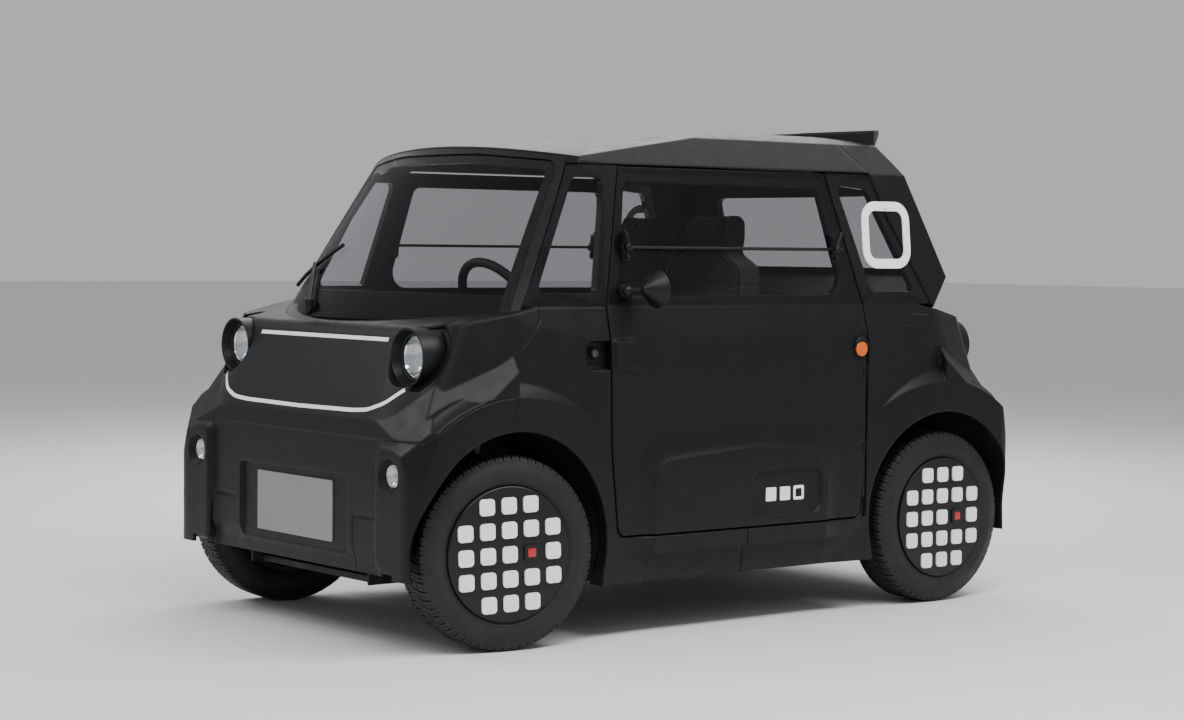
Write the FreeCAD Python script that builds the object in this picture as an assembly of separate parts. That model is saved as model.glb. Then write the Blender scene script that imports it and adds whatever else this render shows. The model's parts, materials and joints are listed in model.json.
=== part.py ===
import FreeCAD, Part
import math
import os

# Frame: +X forward, +Y to the car's left, +Z up, origin on the ground at mid-wheelbase, millimetres.

# Driving dimensions of the car
LENGTH = 2410.0
BODY_WIDTH = 1390.0
WHEELBASE = 1728.0
ROOF_HEIGHT = 1526.0
BELT_HEIGHT = 972.0
SILL_HEIGHT = 162.0
APRON_HEIGHT = 214.0

# Wall thicknesses
WALL = 42.0
ROOF_WALL = 30.0
FRAME_WALL = 24.0
GLASS = 5.0
TUB_WALL = 8.0

# Gaps
DOOR_GAP = 6.0
SEAM = 3.0
SEAM_DEPTH = 8.0
SEAT_CLEARANCE = 0.3
PIN_CLEARANCE = 0.05

# Wheels
TYRE_DIAMETER = 557.0
TYRE_WIDTH = 155.0
RIM_DIAMETER = 364.0
COVER_DIAMETER = 392.0
WHEEL_OUTER_Y = 681.0
TYRE_CENTRE_Y = 597.5
ARCH_RADIUS = 332.0
ARCH_CENTRE_Z = 292.0
FLARE_RADIUS = 443.0
FLARE_SLOPE = 95.0
HOUSING_INNER_Y = 330.0

# Steering
STEER_AT_REST = -8.8
KINGPIN_LOW_Y = 572.0
KINGPIN_LOW_Z = 158.0
KINGPIN_TOP_Y = 470.0
KINGPIN_TOP_Z = 612.0

# Door
DOOR_TOP_X = 416.0
DOOR_BELT_X = 518.0
DOOR_MID_X = 515.0
DOOR_BOTTOM_X = 488.0
DOOR_TOP_Z = 1385.0
DOOR_BOTTOM_Z = 303.0
DOOR_DRAFT = 0.2
HINGE_X = -508.0
HINGE_INSET = 7.0
HINGE_RADIUS = 7.0
HINGE_HEIGHTS = (520.0, 760.0)
HINGE_LENGTH = 36.0

WHEEL_X = WHEELBASE / 2
WHEEL_Z = TYRE_DIAMETER / 2
NOSE_X = LENGTH / 2
SIDE_Y = BODY_WIDTH / 2
SKIN_Y = SIDE_Y - 20.0
FLARE_Y = SIDE_Y - 3.0

V = FreeCAD.Vector
AXIS_X = V(1, 0, 0)
AXIS_Y = V(0, 1, 0)
AXIS_Z = V(0, 0, 1)
ORIGIN = V(0, 0, 0)
FAR = 2000.0


# Outlines and prisms

def in_side_view(y):
    return lambda u, v: V(u, y, v)


def in_front_view(x):
    return lambda u, v: V(x, u, v)


def in_plan(z):
    return lambda u, v: V(u, v, z)


def outline(corners, place):
    """A closed wire through the corners (u, v, radius), each one rounded by its radius."""
    joints = []
    for i, (u, v, radius) in enumerate(corners):
        corner = V(u, v, 0)
        back = V(*corners[i - 1][:2], 0) - corner
        ahead = V(*corners[(i + 1) % len(corners)][:2], 0) - corner
        if radius == 0:
            joints.append((corner, None, corner))
            continue
        back.normalize()
        ahead.normalize()
        half = back.getAngle(ahead) / 2
        reach = radius / math.tan(half)
        inward = (back + ahead).normalize()
        middle = corner + inward * (radius / math.sin(half) - radius)
        joints.append((corner + back * reach, middle, corner + ahead * reach))
    edges = []
    for i, (start, middle, end) in enumerate(joints):
        if middle is not None:
            edges.append(Part.Arc(*(place(p.x, p.y) for p in (start, middle, end))).toShape())
        following = joints[(i + 1) % len(joints)][0]
        if (following - end).Length > 1e-6:
            edges.append(Part.makeLine(place(end.x, end.y), place(following.x, following.y)))
    return Part.Wire(edges)


def grown(corners, distance):
    """The corners moved so that every side lies a distance further out, or further in if it is negative."""
    area = sum(a[0] * b[1] - b[0] * a[1] for a, b in zip(corners, corners[1:] + corners[:1]))
    spin = 1 if area > 0 else -1
    result = []
    for i, (u, v, radius) in enumerate(corners):
        back = V(u - corners[i - 1][0], v - corners[i - 1][1], 0).normalize()
        following = corners[(i + 1) % len(corners)]
        ahead = V(following[0] - u, following[1] - v, 0).normalize()
        out_back = V(back.y, -back.x, 0) * spin
        out_ahead = V(ahead.y, -ahead.x, 0) * spin
        middle = (out_back + out_ahead).normalize()
        moved = V(u, v, 0) + middle * (distance / middle.dot(out_back))
        convex = (back.x * ahead.y - back.y * ahead.x) * spin > 0
        new_radius = radius and max(radius + (distance if convex else -distance), 0)
        result.append((moved.x, moved.y, new_radius))
    return result


def prism(face, low, high, axis):
    """A face at its axis' zero, extruded from low to high along that axis."""
    solid = face.extrude(axis * (high - low))
    solid.translate(axis * low)
    return solid


def side_prism(corners, low=-FAR, high=FAR, grow=0.0):
    return prism(Part.Face(outline(grown(corners, grow), in_side_view(0))), low, high, AXIS_Y)


def front_prism(corners, low=-FAR, high=FAR, grow=0.0):
    return prism(Part.Face(outline(grown(corners, grow), in_front_view(0))), low, high, AXIS_X)


def plan_prism(corners, low=-FAR, high=FAR, grow=0.0):
    return prism(Part.Face(outline(grown(corners, grow), in_plan(0))), low, high, AXIS_Z)


def leaning_prism(corners, foot_z, rise, shift):
    """A plan outline at a foot height, swept upwards while it moves by a shift (x, y) per unit of height."""
    face = Part.Face(outline(corners, in_plan(foot_z)))
    return face.extrude(V(shift[0] * rise, shift[1] * rise, rise))


def box(low, high):
    size = V(*high) - V(*low)
    return Part.makeBox(size.x, size.y, size.z, V(*low))


def rod(start, end, radius):
    line = V(*end) - V(*start)
    return Part.makeCylinder(radius, line.Length, V(*start), line)


def mirrored_x(shape):
    return shape.mirror(ORIGIN, AXIS_X)


def mirrored_y(shape):
    return shape.mirror(ORIGIN, AXIS_Y)


def turned(shape):
    """The shape turned half a turn about the vertical centre line."""
    copy = shape.copy()
    copy.rotate(ORIGIN, AXIS_Z, 180)
    return copy


def both_sides(shape):
    return [shape, mirrored_y(shape)]


def four_corners(shape):
    return both_sides(shape) + [mirrored_x(s) for s in both_sides(shape)]


def ends(half):
    """Corner list made symmetric about u = 0 from its half with u > 0."""
    return half + [(-u, v, r) for u, v, r in reversed(half)]


def quarters(quarter):
    """Corner list for all four quadrants from the one with u and v positive, which starts on v = 0."""
    half = quarter + [(-u, v, r) for u, v, r in reversed(quarter)]
    return half + [(u, -v, r) for u, v, r in reversed(half[1:-1])]


def pieces(shape, smallest=1000.0):
    """The solids of a shape, without the slivers that a cut may leave."""
    return [s for s in shape.Solids if s.Volume > smallest]


def joined(shapes):
    first, *rest = shapes
    return first.multiFuse(rest).removeSplitter() if rest else first


# Lower body: fascia, wings and doors in one volume, the bumper belt, flares, pods and door bulges

FASCIA_TOP = (NOSE_X - 139.0, BELT_HEIGHT - 58.0)
FASCIA_FOOT = (NOSE_X - 27.0, 650.0)
FASCIA_RAKE = (FASCIA_FOOT[0] - FASCIA_TOP[0]) / (FASCIA_TOP[1] - FASCIA_FOOT[1])
POD_TOP_Z = 600.0
SHOULDER_Z = 860.0
RAW_FOOT_Z = 20.0


def raked_outline(inset):
    """The front's plan, rounded at its corners and raked backwards with the fascia."""
    rise = 1100.0
    half = [
        (FASCIA_FOOT[0], 450, 330), (FASCIA_FOOT[0] - 56, 604, 60), (FASCIA_FOOT[0] - 218, 658, 260),
        (560, SKIN_Y + 1, 0), (-1500, SKIN_Y + 1, 0),
    ]
    corners = half + [(u, -v, r) for u, v, r in reversed(half)]
    face = grown(corners, -inset * math.hypot(1, FASCIA_RAKE))
    foot_z = FASCIA_FOOT[1] - 650.0
    moved = [(u + FASCIA_RAKE * 650.0, v, r) for u, v, r in face]
    return leaning_prism(moved, foot_z, rise, (-FASCIA_RAKE, 0))


def upper_volume(inset):
    """Fascia, bonnet, wings and door sides, without the flares."""
    side = side_prism(
        ends([(760, BELT_HEIGHT + 2, 150), (*FASCIA_TOP, 50), (*FASCIA_FOOT, 0), (NOSE_X - 35, RAW_FOOT_Z, 0)]),
        grow=-inset,
    )
    front = front_prism(
        ends([(645, BELT_HEIGHT + 6, 8), (SKIN_Y, SHOULDER_Z, 260), (SKIN_Y, 290, 60), (640, RAW_FOOT_Z, 0)]),
        grow=-inset,
    )
    raked = raked_outline(inset)
    return side.common(front).common(raked).common(mirrored_x(raked))


# Corner slopes: one plane faces forward from the pod's top up to the lamp, one faces the side above the
# flare's crest, and one cuts the crest's front end

FRONT_SLOPE = (0.17, 0.642)
FRONT_SLOPE_REACH = NOSE_X + 462.5
SIDE_SLOPE = (1.721, 1.206)
SIDE_SLOPE_REACH = NOSE_X + 1802.0
CREST_SLOPE = (0.622, 0.2075)
CREST_SLOPE_REACH = NOSE_X + 490.8


def sloped_space(slope, reach):
    """The space behind the plane x + a y + b z = reach on the left side."""
    a, b = slope
    corners = [(reach + a * FAR, -FAR, 0), (reach - a * FAR, FAR, 0), (-3 * FAR, FAR, 0), (-3 * FAR, -FAR, 0)]
    return leaning_prism(corners, 0, 1100, (-b, 0))


def front_slope():
    """The space under the forward slope and behind the cut of the crest."""
    return sloped_space(FRONT_SLOPE, FRONT_SLOPE_REACH).common(sloped_space(CREST_SLOPE, CREST_SLOPE_REACH))


def side_slope():
    return sloped_space(SIDE_SLOPE, SIDE_SLOPE_REACH)


def bumper_volume():
    """The left front part of the belt that carries the plates and meets the flares."""
    side = side_prism([
        (WHEEL_X, SHOULDER_Z, 0), (NOSE_X - 150, SHOULDER_Z, 0), (NOSE_X - 30, 655, 0),
        (NOSE_X - 18, POD_TOP_Z + 6, 40), (NOSE_X - 15, 300, 20), (NOSE_X - 47, 200, 14), (WHEEL_X, 200, 0),
    ])
    plan = plan_prism([
        (WHEEL_X, 0, 0), (NOSE_X - 17, 0, 0), (NOSE_X - 19, 628, 80), (NOSE_X - 52, FLARE_Y - 2, 70),
        (WHEEL_X, FLARE_Y - 2, 0),
    ])
    return side.common(plan).common(front_slope()).common(side_slope())


def flare():
    """The round flare about the left front wheel, crisp at its crest and hollow above it."""
    faded = plan_prism([
        (300, 0, 0), (300, SKIN_Y - 22, 0), (DOOR_MID_X + 8, SKIN_Y - 1, 0), (WHEEL_X - 70, FLARE_Y, 300),
        (1300, FLARE_Y, 0), (1300, 0, 0),
    ])
    wide = flare_disc(FLARE_SLOPE, SKIN_Y - 34).common(side_slope())
    crest = flare_disc(FLARE_SLOPE * 0.3, FLARE_Y - 45)
    return wide.fuse(crest).common(faded).common(front_slope())


def flare_disc(width, foot_y):
    """A disc about the wheel whose edge falls from the crest, in a hollow, to a foot."""
    inner_y = 560.0
    crest = V(FLARE_RADIUS, FLARE_Y, 0)
    foot = V(FLARE_RADIUS + width, foot_y, 0)
    hollow = V(FLARE_RADIUS + width * 0.36, FLARE_Y - (FLARE_Y - foot_y) * 0.53, 0)
    edges = [
        Part.Arc(crest, hollow, foot).toShape(),
        Part.makeLine(foot, V(foot.x, inner_y, 0)),
        Part.makeLine(V(foot.x, inner_y, 0), V(0, inner_y, 0)),
        Part.makeLine(V(0, inner_y, 0), V(0, FLARE_Y, 0)),
        Part.makeLine(V(0, FLARE_Y, 0), crest),
    ]
    disc = Part.Face(Part.Wire(edges)).revolve(ORIGIN, AXIS_Y, 360)
    disc.translate(V(WHEEL_X, 0, WHEEL_Z))
    return disc


def pod():
    """The round-shouldered corner of the bumper that carries a small lamp."""
    sections = []
    foot = APRON_HEIGHT + 30
    for x, grow in ((NOSE_X, 0.0), (NOSE_X - 6, 12.0), (NOSE_X - 22, 24.0), (NOSE_X - 60, 34.0)):
        corners = [
            (478 - grow, foot - grow, 30),
            (618 + grow, foot - grow, 30),
            (618 + grow, 574 + grow, 34),
            (478 - grow, 574 + grow, 34),
        ]
        sections.append(outline(corners, in_front_view(x)))
    return Part.makeLoft(sections, True, False).common(front_slope())


def door_bulge():
    """The shallow swelling low on the door, crisp at its crest and soft above."""
    sections = []
    for depth, grow in ((0.0, 0.0), (6.0, 10.0), (13.0, 34.0), (19.0, 78.0), (24.0, 150.0)):
        corners = [
            (-330 - grow, 245, 0),
            (366 + grow * 0.7, 245, 0),
            (360 + grow * 0.7, 514 + grow, 70),
            (-60, 545 + grow, 900),
            (-340 - grow, 512 + grow, 120),
        ]
        sections.append(outline(corners, in_side_view(FLARE_Y - depth)))
    return Part.makeLoft(sections, True, False)


def corner_clip():
    """The plan outline that nothing of the lower body passes."""
    side_x = NOSE_X - 45
    return plan_prism(quarters([(NOSE_X, 0, 0), (NOSE_X, 628, 90), (side_x, FLARE_Y, 80), (300, FLARE_Y, 0)]))


def underside():
    """The side view of the lower body above its sills and aprons."""
    rise = WHEEL_X + 200
    return side_prism([
        (rise, SILL_HEIGHT, 0), (rise, APRON_HEIGHT, 0), (1400, APRON_HEIGHT, 0), (1400, 1200, 0),
        (-1400, 1200, 0), (-1400, APRON_HEIGHT, 0), (-rise, APRON_HEIGHT, 0), (-rise, SILL_HEIGHT, 0),
    ])


def lower_body():
    bulge = door_bulge()
    corners = four_corners(bumper_volume()) + four_corners(flare()) + four_corners(pod())
    volume = upper_volume(0.0).multiFuse(corners + [bulge, turned(bulge)])
    return volume.common(corner_clip()).common(underside())


# Greenhouse: everything above the belt

SCREEN_SLOPE = 0.771
SCREEN_FOOT_X = 1032.0
SCREEN_RADIUS = 903.0
SCREEN_WIDENING = 0.341
REAR_SLOPE = 0.50
REAR_FOOT_X = -1096.0
REAR_RADIUS = 1500.0
TAIL_SLOPE = -0.70
TAIL_FOOT_X = -940.0
CHEEK_TURN = 0.15
CHEEK_LEAN = 0.234
CHEEK_X = 420.0
CROWN_X = 548.0
CROWN_SLOPE = 0.11
CROWN_RADIUS = 2893.0
CROWN_DROP = 64.0
GLASS_LEAN = (650.0 - 569.5) / (DOOR_TOP_Z - BELT_HEIGHT)
LOW_Z = 900.0
ROOF_EDGE_Z = DOOR_TOP_Z + DOOR_GAP
BELT_TOP_Z = BELT_HEIGHT + 2.0


def screen_radius(z):
    """The windscreen is rounder in plan at its foot than at its top."""
    return SCREEN_RADIUS + SCREEN_WIDENING * (z - LOW_Z)


def screen_section(front, radius, z):
    """A plan section of the space behind a screen that is round in plan."""
    facing = 1 if front > 0 else -1
    half = 800.0
    side_x = front - facing * (radius - math.sqrt(radius ** 2 - half ** 2))
    back = -facing * 1800.0
    return Part.Wire([
        Part.Arc(V(side_x, -half, z), V(front, 0, z), V(side_x, half, z)).toShape(),
        Part.makeLine(V(side_x, half, z), V(back, half, z)),
        Part.makeLine(V(back, half, z), V(back, -half, z)),
        Part.makeLine(V(back, -half, z), V(side_x, -half, z)),
    ])


SCREEN_RISE = 700.0


def windscreen_space(inset):
    front = SCREEN_FOOT_X + (BELT_HEIGHT - LOW_Z) * SCREEN_SLOPE - inset * math.hypot(1, SCREEN_SLOPE)
    top_z = LOW_Z + SCREEN_RISE
    low = screen_section(front, screen_radius(LOW_Z), LOW_Z)
    high = screen_section(front - SCREEN_SLOPE * SCREEN_RISE, screen_radius(top_z), top_z)
    return Part.makeLoft([low, high], True, True)


def rear_space(foot_x, slope, inset):
    """The space ahead of a rear surface that lies at foot_x at LOW_Z and moves forward by slope with height."""
    face = Part.Face(screen_section(foot_x + inset * math.hypot(1, slope), REAR_RADIUS, LOW_Z))
    return face.extrude(V(slope * SCREEN_RISE, 0, SCREEN_RISE))


def cheek_space(inset):
    """The space inside the side plane that turns in ahead of the left door."""
    foot_z = LOW_Z - 100
    crease_y = 650 - (foot_z - BELT_HEIGHT) * GLASS_LEAN
    crease_x = CHEEK_X + (DOOR_BELT_X - DOOR_TOP_X) * (DOOR_TOP_Z - foot_z) / (DOOR_TOP_Z - BELT_HEIGHT)
    shift = inset * math.hypot(1, CHEEK_TURN, CHEEK_LEAN)
    front_y = crease_y - CHEEK_TURN * (FAR - crease_x) - shift
    back_y = crease_y + CHEEK_TURN * (FAR + crease_x) - shift
    return leaning_prism([(-FAR, -FAR, 0), (FAR, -FAR, 0), (FAR, front_y, 0), (-FAR, back_y, 0)], foot_z, 900,
                         (0, -CHEEK_LEAN))


def roof_crown(inset):
    """The space under a round crown that falls towards the windscreen."""
    top = ROOF_HEIGHT - CROWN_DROP - inset
    half = 800.0
    edge = top - (CROWN_RADIUS - math.sqrt(CROWN_RADIUS ** 2 - half ** 2))
    foot = -FAR
    edges = [
        Part.Arc(V(CROWN_X, -half, edge), V(CROWN_X, 0, top), V(CROWN_X, half, edge)).toShape(),
        Part.makeLine(V(CROWN_X, half, edge), V(CROWN_X, half, foot)),
        Part.makeLine(V(CROWN_X, half, foot), V(CROWN_X, -half, foot)),
        Part.makeLine(V(CROWN_X, -half, foot), V(CROWN_X, -half, edge)),
    ]
    face = Part.Face(Part.Wire(edges))
    ahead = 700.0
    face.translate(V(ahead, 0, -ahead * CROWN_SLOPE))
    return face.extrude(V(-4 * ahead, 0, 4 * ahead * CROWN_SLOPE))


def greenhouse(inset):
    """The whole glasshouse volume, set in by a distance."""
    side = side_prism(
        [
            (1160, LOW_Z - 100, 0),
            (1160, ROOF_HEIGHT - 196, 0),
            (662, ROOF_HEIGHT - 74, 60),
            (120, ROOF_HEIGHT - 37, 2600),
            (-560, ROOF_HEIGHT, 1500),
            (-800, ROOF_HEIGHT - 36, 240),
            (-938, ROOF_HEIGHT - 146, 50),
            (-1120, 1020, 0),
            (-1120, LOW_Z - 100, 0),
        ],
        grow=-inset,
    )
    lean = 650 + (BELT_HEIGHT - LOW_Z + 100) * GLASS_LEAN
    front = front_prism(
        ends([
            (1, ROOF_HEIGHT + 2, 0), (350, ROOF_HEIGHT - 12, 500), (438, ROOF_HEIGHT - 39, 14),
            (569.5, DOOR_TOP_Z + 2, 6), (lean, LOW_Z - 100, 0),
        ]),
        grow=-inset,
    )
    drop = BELT_HEIGHT - LOW_Z
    rear = rear_space(REAR_FOOT_X - drop * REAR_SLOPE, REAR_SLOPE, inset)
    tail = rear_space(TAIL_FOOT_X, TAIL_SLOPE, inset)
    cheek = cheek_space(inset)
    volume = side.common(front).common(windscreen_space(inset)).common(rear).common(tail)
    return volume.common(roof_crown(inset)).common(cheek).common(mirrored_y(cheek))


# Side-view regions that split the shell where the real panels meet

WING_SEAM = [(766, 1100, 0), (766, 942, 0), (832, 853, 0), (874, 729, 0), (889, 620, 0), (889, 100, 0)]
PILLAR_SLOPE = 0.542
PILLAR_TOP_X = 824 - PILLAR_SLOPE * (ROOF_EDGE_Z - 930)
PILLAR_LINE = [
    (824, 930), (PILLAR_TOP_X, ROOF_EDGE_Z), (PILLAR_TOP_X + 2, ROOF_EDGE_Z + 22),
    (PILLAR_TOP_X + 96, ROOF_EDGE_Z + 51), (PILLAR_TOP_X + 150, ROOF_EDGE_Z + 120), (PILLAR_TOP_X + 150, 1700),
]
ROOF_SEAM = [
    (-555, 1700), (-602, ROOF_EDGE_Z + 66), (-619, ROOF_EDGE_Z), (-625, ROOF_EDGE_Z - 24),
    (-684, ROOF_EDGE_Z - 155), (-854, 930),
]


def ahead_of_wing_seam(gap=0.0):
    seam = [(x + gap, z, r) for x, z, r in WING_SEAM]
    return side_prism(seam + [(1500, 100, 0), (1500, 1100, 0)])


def ahead_of_pillar(gap=0.0):
    line = [(x + gap, z, 0) for x, z in PILLAR_LINE]
    return side_prism(line + [(1500, 1700, 0), (1500, 930, 0)])


def behind_roof_seam(gap=0.0):
    line = [(x - gap, z, 0) for x, z in ROOF_SEAM]
    return side_prism(line + [(-1500, 930, 0), (-1500, 1700, 0)])


def bumper_region(grow=0.0):
    """Below the flare's crest and the pods' tops, ahead of the wheel."""
    disc = Part.makeCylinder(FLARE_RADIUS + grow, 2 * FAR, V(WHEEL_X, -FAR, WHEEL_Z), AXIS_Y)
    return disc.fuse(box((1098 - grow, -FAR, 0), (1500, FAR, POD_TOP_Z + grow)))


def grooves(region, inner):
    """The narrow band along a region's edge, outside an inner volume."""
    return region(SEAM / 2).cut(region(-SEAM / 2)).cut(inner)


def latch_x(x, y, section_y):
    """Where the drafted latch edge lies in a section, when it lies at x at a distance y from the middle."""
    return x + DOOR_DRAFT * (section_y - y)


def door_outline(y):
    """The left door in side view, at a distance y from the car's middle."""
    return [
        (latch_x(DOOR_TOP_X, 569.5, y), DOOR_TOP_Z, 8),
        (latch_x(DOOR_BELT_X, 650, y), BELT_HEIGHT, 60),
        (latch_x(DOOR_MID_X, SKIN_Y, y), 560, 400),
        (latch_x(DOOR_BOTTOM_X, SKIN_Y, y), DOOR_BOTTOM_Z, 26),
        (-DOOR_BOTTOM_X, DOOR_BOTTOM_Z, 26),
        (-DOOR_MID_X, 560, 400),
        (-DOOR_BELT_X, BELT_HEIGHT, 60),
        (-DOOR_TOP_X, DOOR_TOP_Z, 8),
    ]


def door_plug(grow):
    """The left door's whole space, narrower inside on its latch edge so that it can swing out."""
    sections = []
    for y in (380.0, 760.0):
        sections.append(outline(grown(door_outline(y), grow), in_side_view(y)))
    return Part.makeLoft(sections, True, True)


HINGE_Y = SKIN_Y - HINGE_INSET


def hinge_cylinder(radius, low, high):
    return Part.makeCylinder(radius, high - low, V(HINGE_X, HINGE_Y, low))


def hinge_slots(margin):
    """The spaces round the fixed hinge barrels in the door's edge."""
    half = HINGE_LENGTH / 2 + margin
    return [hinge_cylinder(HINGE_RADIUS + DOOR_GAP, z - half, z + half) for z in HINGE_HEIGHTS]


def arches(radius, inner_y):
    """The four wheel spaces, open at their sides and below."""
    disc = Part.makeCylinder(radius, 2 * FAR, V(WHEEL_X, inner_y, ARCH_CENTRE_Z), AXIS_Y)
    low = 60.0
    skirt = side_prism([
        (WHEEL_X - radius, ARCH_CENTRE_Z, 0), (WHEEL_X + radius, ARCH_CENTRE_Z, 0),
        (WHEEL_X + radius - 8, low, 0), (WHEEL_X - radius + 30, low, 0),
    ], inner_y, FAR)
    return four_corners(disc.fuse(skirt))


def lower_shell(body):
    """The lower body's wall, open at the wheels, underneath and inside the glasshouse."""
    shell = body.cut(upper_volume(WALL)).cut(arches(ARCH_RADIUS, HOUSING_INNER_Y)).cut(greenhouse(ROOF_WALL))
    inner = upper_volume(SEAM_DEPTH)
    wing_seam = grooves(ahead_of_wing_seam, inner)
    sill_seam = box((-SEAM / 2, -FAR, 0), (SEAM / 2, FAR, DOOR_BOTTOM_Z)).cut(inner)
    return shell.cut([wing_seam, turned(wing_seam), sill_seam])


# Fixed lower panels

def front_panels(shell):
    ahead = shell.common(ahead_of_wing_seam())
    panel = ahead.cut(bumper_region())
    bumper = ahead.common(bumper_region()).cut(plate_recess())
    return panel.cut(lamp_seats()).cut(lamp_recesses()), bumper.cut(small_lamp_seats())


def plate_recess():
    """The tapered recess for the plate in the bumper's middle."""
    sections = []
    for x, half, low, high in ((NOSE_X + 35, 330, 250, 496), (PLATE_X - 4, 296, 262, 484)):
        corners = [(-half, low, 12), (half, low, 12), (half, high, 12), (-half, high, 12)]
        sections.append(outline(corners, in_front_view(x)))
    return Part.makeLoft(sections, True, True)


def side_wall(shell):
    """The left wall between the wing seams without the door, as its front and rear halves."""
    ahead = ahead_of_wing_seam()
    wall = shell.cut([ahead, mirrored_x(ahead), door_plug(DOOR_GAP)])
    wall = wall.cut(hinge_cylinder(HINGE_RADIUS + DOOR_GAP, DOOR_BOTTOM_Z - 2, BELT_TOP_Z + 2))
    front = wall.common(box((0, 0, 0), (FAR, FAR, FAR)))
    rear = wall.common(box((-FAR, 0, 0), (0, FAR, FAR)))
    return front.cut(handle_recess()), rear.fuse(hinge_leaves())


def handle_recess():
    """The hand space in the fixed panel ahead of the latch edge, with its lock."""
    sections = []
    for y, grow in ((FLARE_Y, 10.0), (SKIN_Y - 30, 0.0)):
        corners = [(480, 796, 4), (608, 796, 20), (608, 870, 20), (480, 870, 4)]
        sections.append(outline(grown(corners, grow), in_side_view(y)))
    space = Part.makeLoft(sections, True, True)
    return space.cut(rod((572, SKIN_Y - 40, 838), (572, SKIN_Y - 16, 838), 14))


def hinge_leaves():
    """Two fixed barrels with their webs and pins."""
    leaves = []
    for z in HINGE_HEIGHTS:
        low, high = z - HINGE_LENGTH / 2, z + HINGE_LENGTH / 2
        barrel = hinge_cylinder(HINGE_RADIUS, low, high)
        web = box((HINGE_X - 30, HINGE_Y - HINGE_RADIUS, low), (HINGE_X, HINGE_Y - 1, high))
        pin = hinge_cylinder(HINGE_RADIUS / 2, low - 18, high + 18)
        leaves += [barrel, web, pin]
    return leaves


# Doors

def door_panel(shell, house):
    """The left door: lower panel, hinge edge and the frame behind its glass, in one piece."""
    lower = shell.common(door_plug(0))
    edge = hinge_cylinder(HINGE_RADIUS, DOOR_BOTTOM_Z + 60, BELT_HEIGHT - 70)
    behind_axis = box((-FAR, 0, DOOR_BOTTOM_Z + 60), (HINGE_X, FAR, BELT_HEIGHT - 70))
    lower = lower.cut(behind_axis).fuse(edge)
    band = house.common(door_plug(0)).common(box((-FAR, 0, BELT_TOP_Z), (FAR, FAR, FAR)))
    panel = lower.fuse(band.cut(door_window()))
    panel = panel.cut(hinge_slots(SEAT_CLEARANCE))
    half = HINGE_LENGTH / 2 + 18 + SEAT_CLEARANCE
    bores = [hinge_cylinder(HINGE_RADIUS / 2 + PIN_CLEARANCE, z - half, z + half) for z in HINGE_HEIGHTS]
    panel = panel.cut(bores).fuse(handle_lid())
    return panel.cut(badge_recess()).cut(side_lamp_seat())


def door_window():
    return side_prism([(404, 1338, 28), (470, 1004, 28), (-446, 1004, 60), (-384, 1338, 28)], 0, FAR)


def handle_lid():
    """The raised pull at the latch edge of the door."""
    sections = []
    for y, grow in ((SKIN_Y - 6, 8.0), (SKIN_Y + 8, 0.0)):
        corners = [(424, 792, 16), (506, 792, 3), (506, 872, 3), (424, 872, 16)]
        sections.append(outline(grown(corners, grow), in_side_view(y)))
    return Part.makeLoft(sections, True, True).common(door_plug(0))


def badge_recess():
    """The shallow tray low on the door that carries three small square marks."""
    sections = []
    for y, grow in ((FLARE_Y + 10, 8.0), (FLARE_Y - 8, 0.0)):
        corners = [(-22, 333, 34), (-22, 468, 34), (-308, 468, 34), (-308, 333, 34)]
        sections.append(outline(grown(corners, grow), in_side_view(y)))
    return Part.makeLoft(sections, True, True)


SIDE_LAMP = (-486.0, 834.0)
SIDE_LAMP_RADIUS = 24.0


def side_lamp_seat():
    x, z = SIDE_LAMP
    return rod((x, SKIN_Y - 8, z), (x, SKIN_Y + 30, z), SIDE_LAMP_RADIUS + 1)


def side_lamp():
    x, z = SIDE_LAMP
    body = rod((x, SKIN_Y - 8, z), (x, SKIN_Y + 8, z), SIDE_LAMP_RADIUS)
    return body.makeFillet(4, [body.Edges[0]])


def door_glass(pane):
    """The fixed upper pane and the flap below it."""
    left = pane.common(door_plug(-2)).common(box((-FAR, 0, BELT_TOP_Z + 4), (FAR, FAR, FAR)))
    return left.cut(box((-FAR, 0, FLAP_HINGE_Z - 2), (FAR, FAR, FLAP_HINGE_Z + 2)))


FLAP_HINGE_Z = 1146.0
BAR_RADIUS = 5.0


def glass_y(z):
    """How far out the side glass lies at a height."""
    return 650 - (z - BELT_HEIGHT) * GLASS_LEAN


def flap_bar():
    """The bar that the flap hangs on, with a clamp at each end."""
    y = glass_y(FLAP_HINGE_Z) + BAR_RADIUS + 2
    bar = rod((-452, y, FLAP_HINGE_Z), (452, y, FLAP_HINGE_Z), BAR_RADIUS)
    clamps = []
    for x in (-412.0, 434.0):
        low, high = FLAP_HINGE_Z - 42, FLAP_HINGE_Z + 46
        corners = [(x - 14, low, 8), (x + 14, low, 8), (x + 10, high, 8), (x - 10, high, 8)]
        clamps.append(side_prism(corners, 580, y + 6))
    solid = bar.multiFuse(clamps)
    return solid.cut(greenhouse(-SEAT_CLEARANCE))


MIRROR_X = 392.0
MIRROR_Y = 728.0
MIRROR_Z = 1026.0
MIRROR_RADIUS = 56.0


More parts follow.
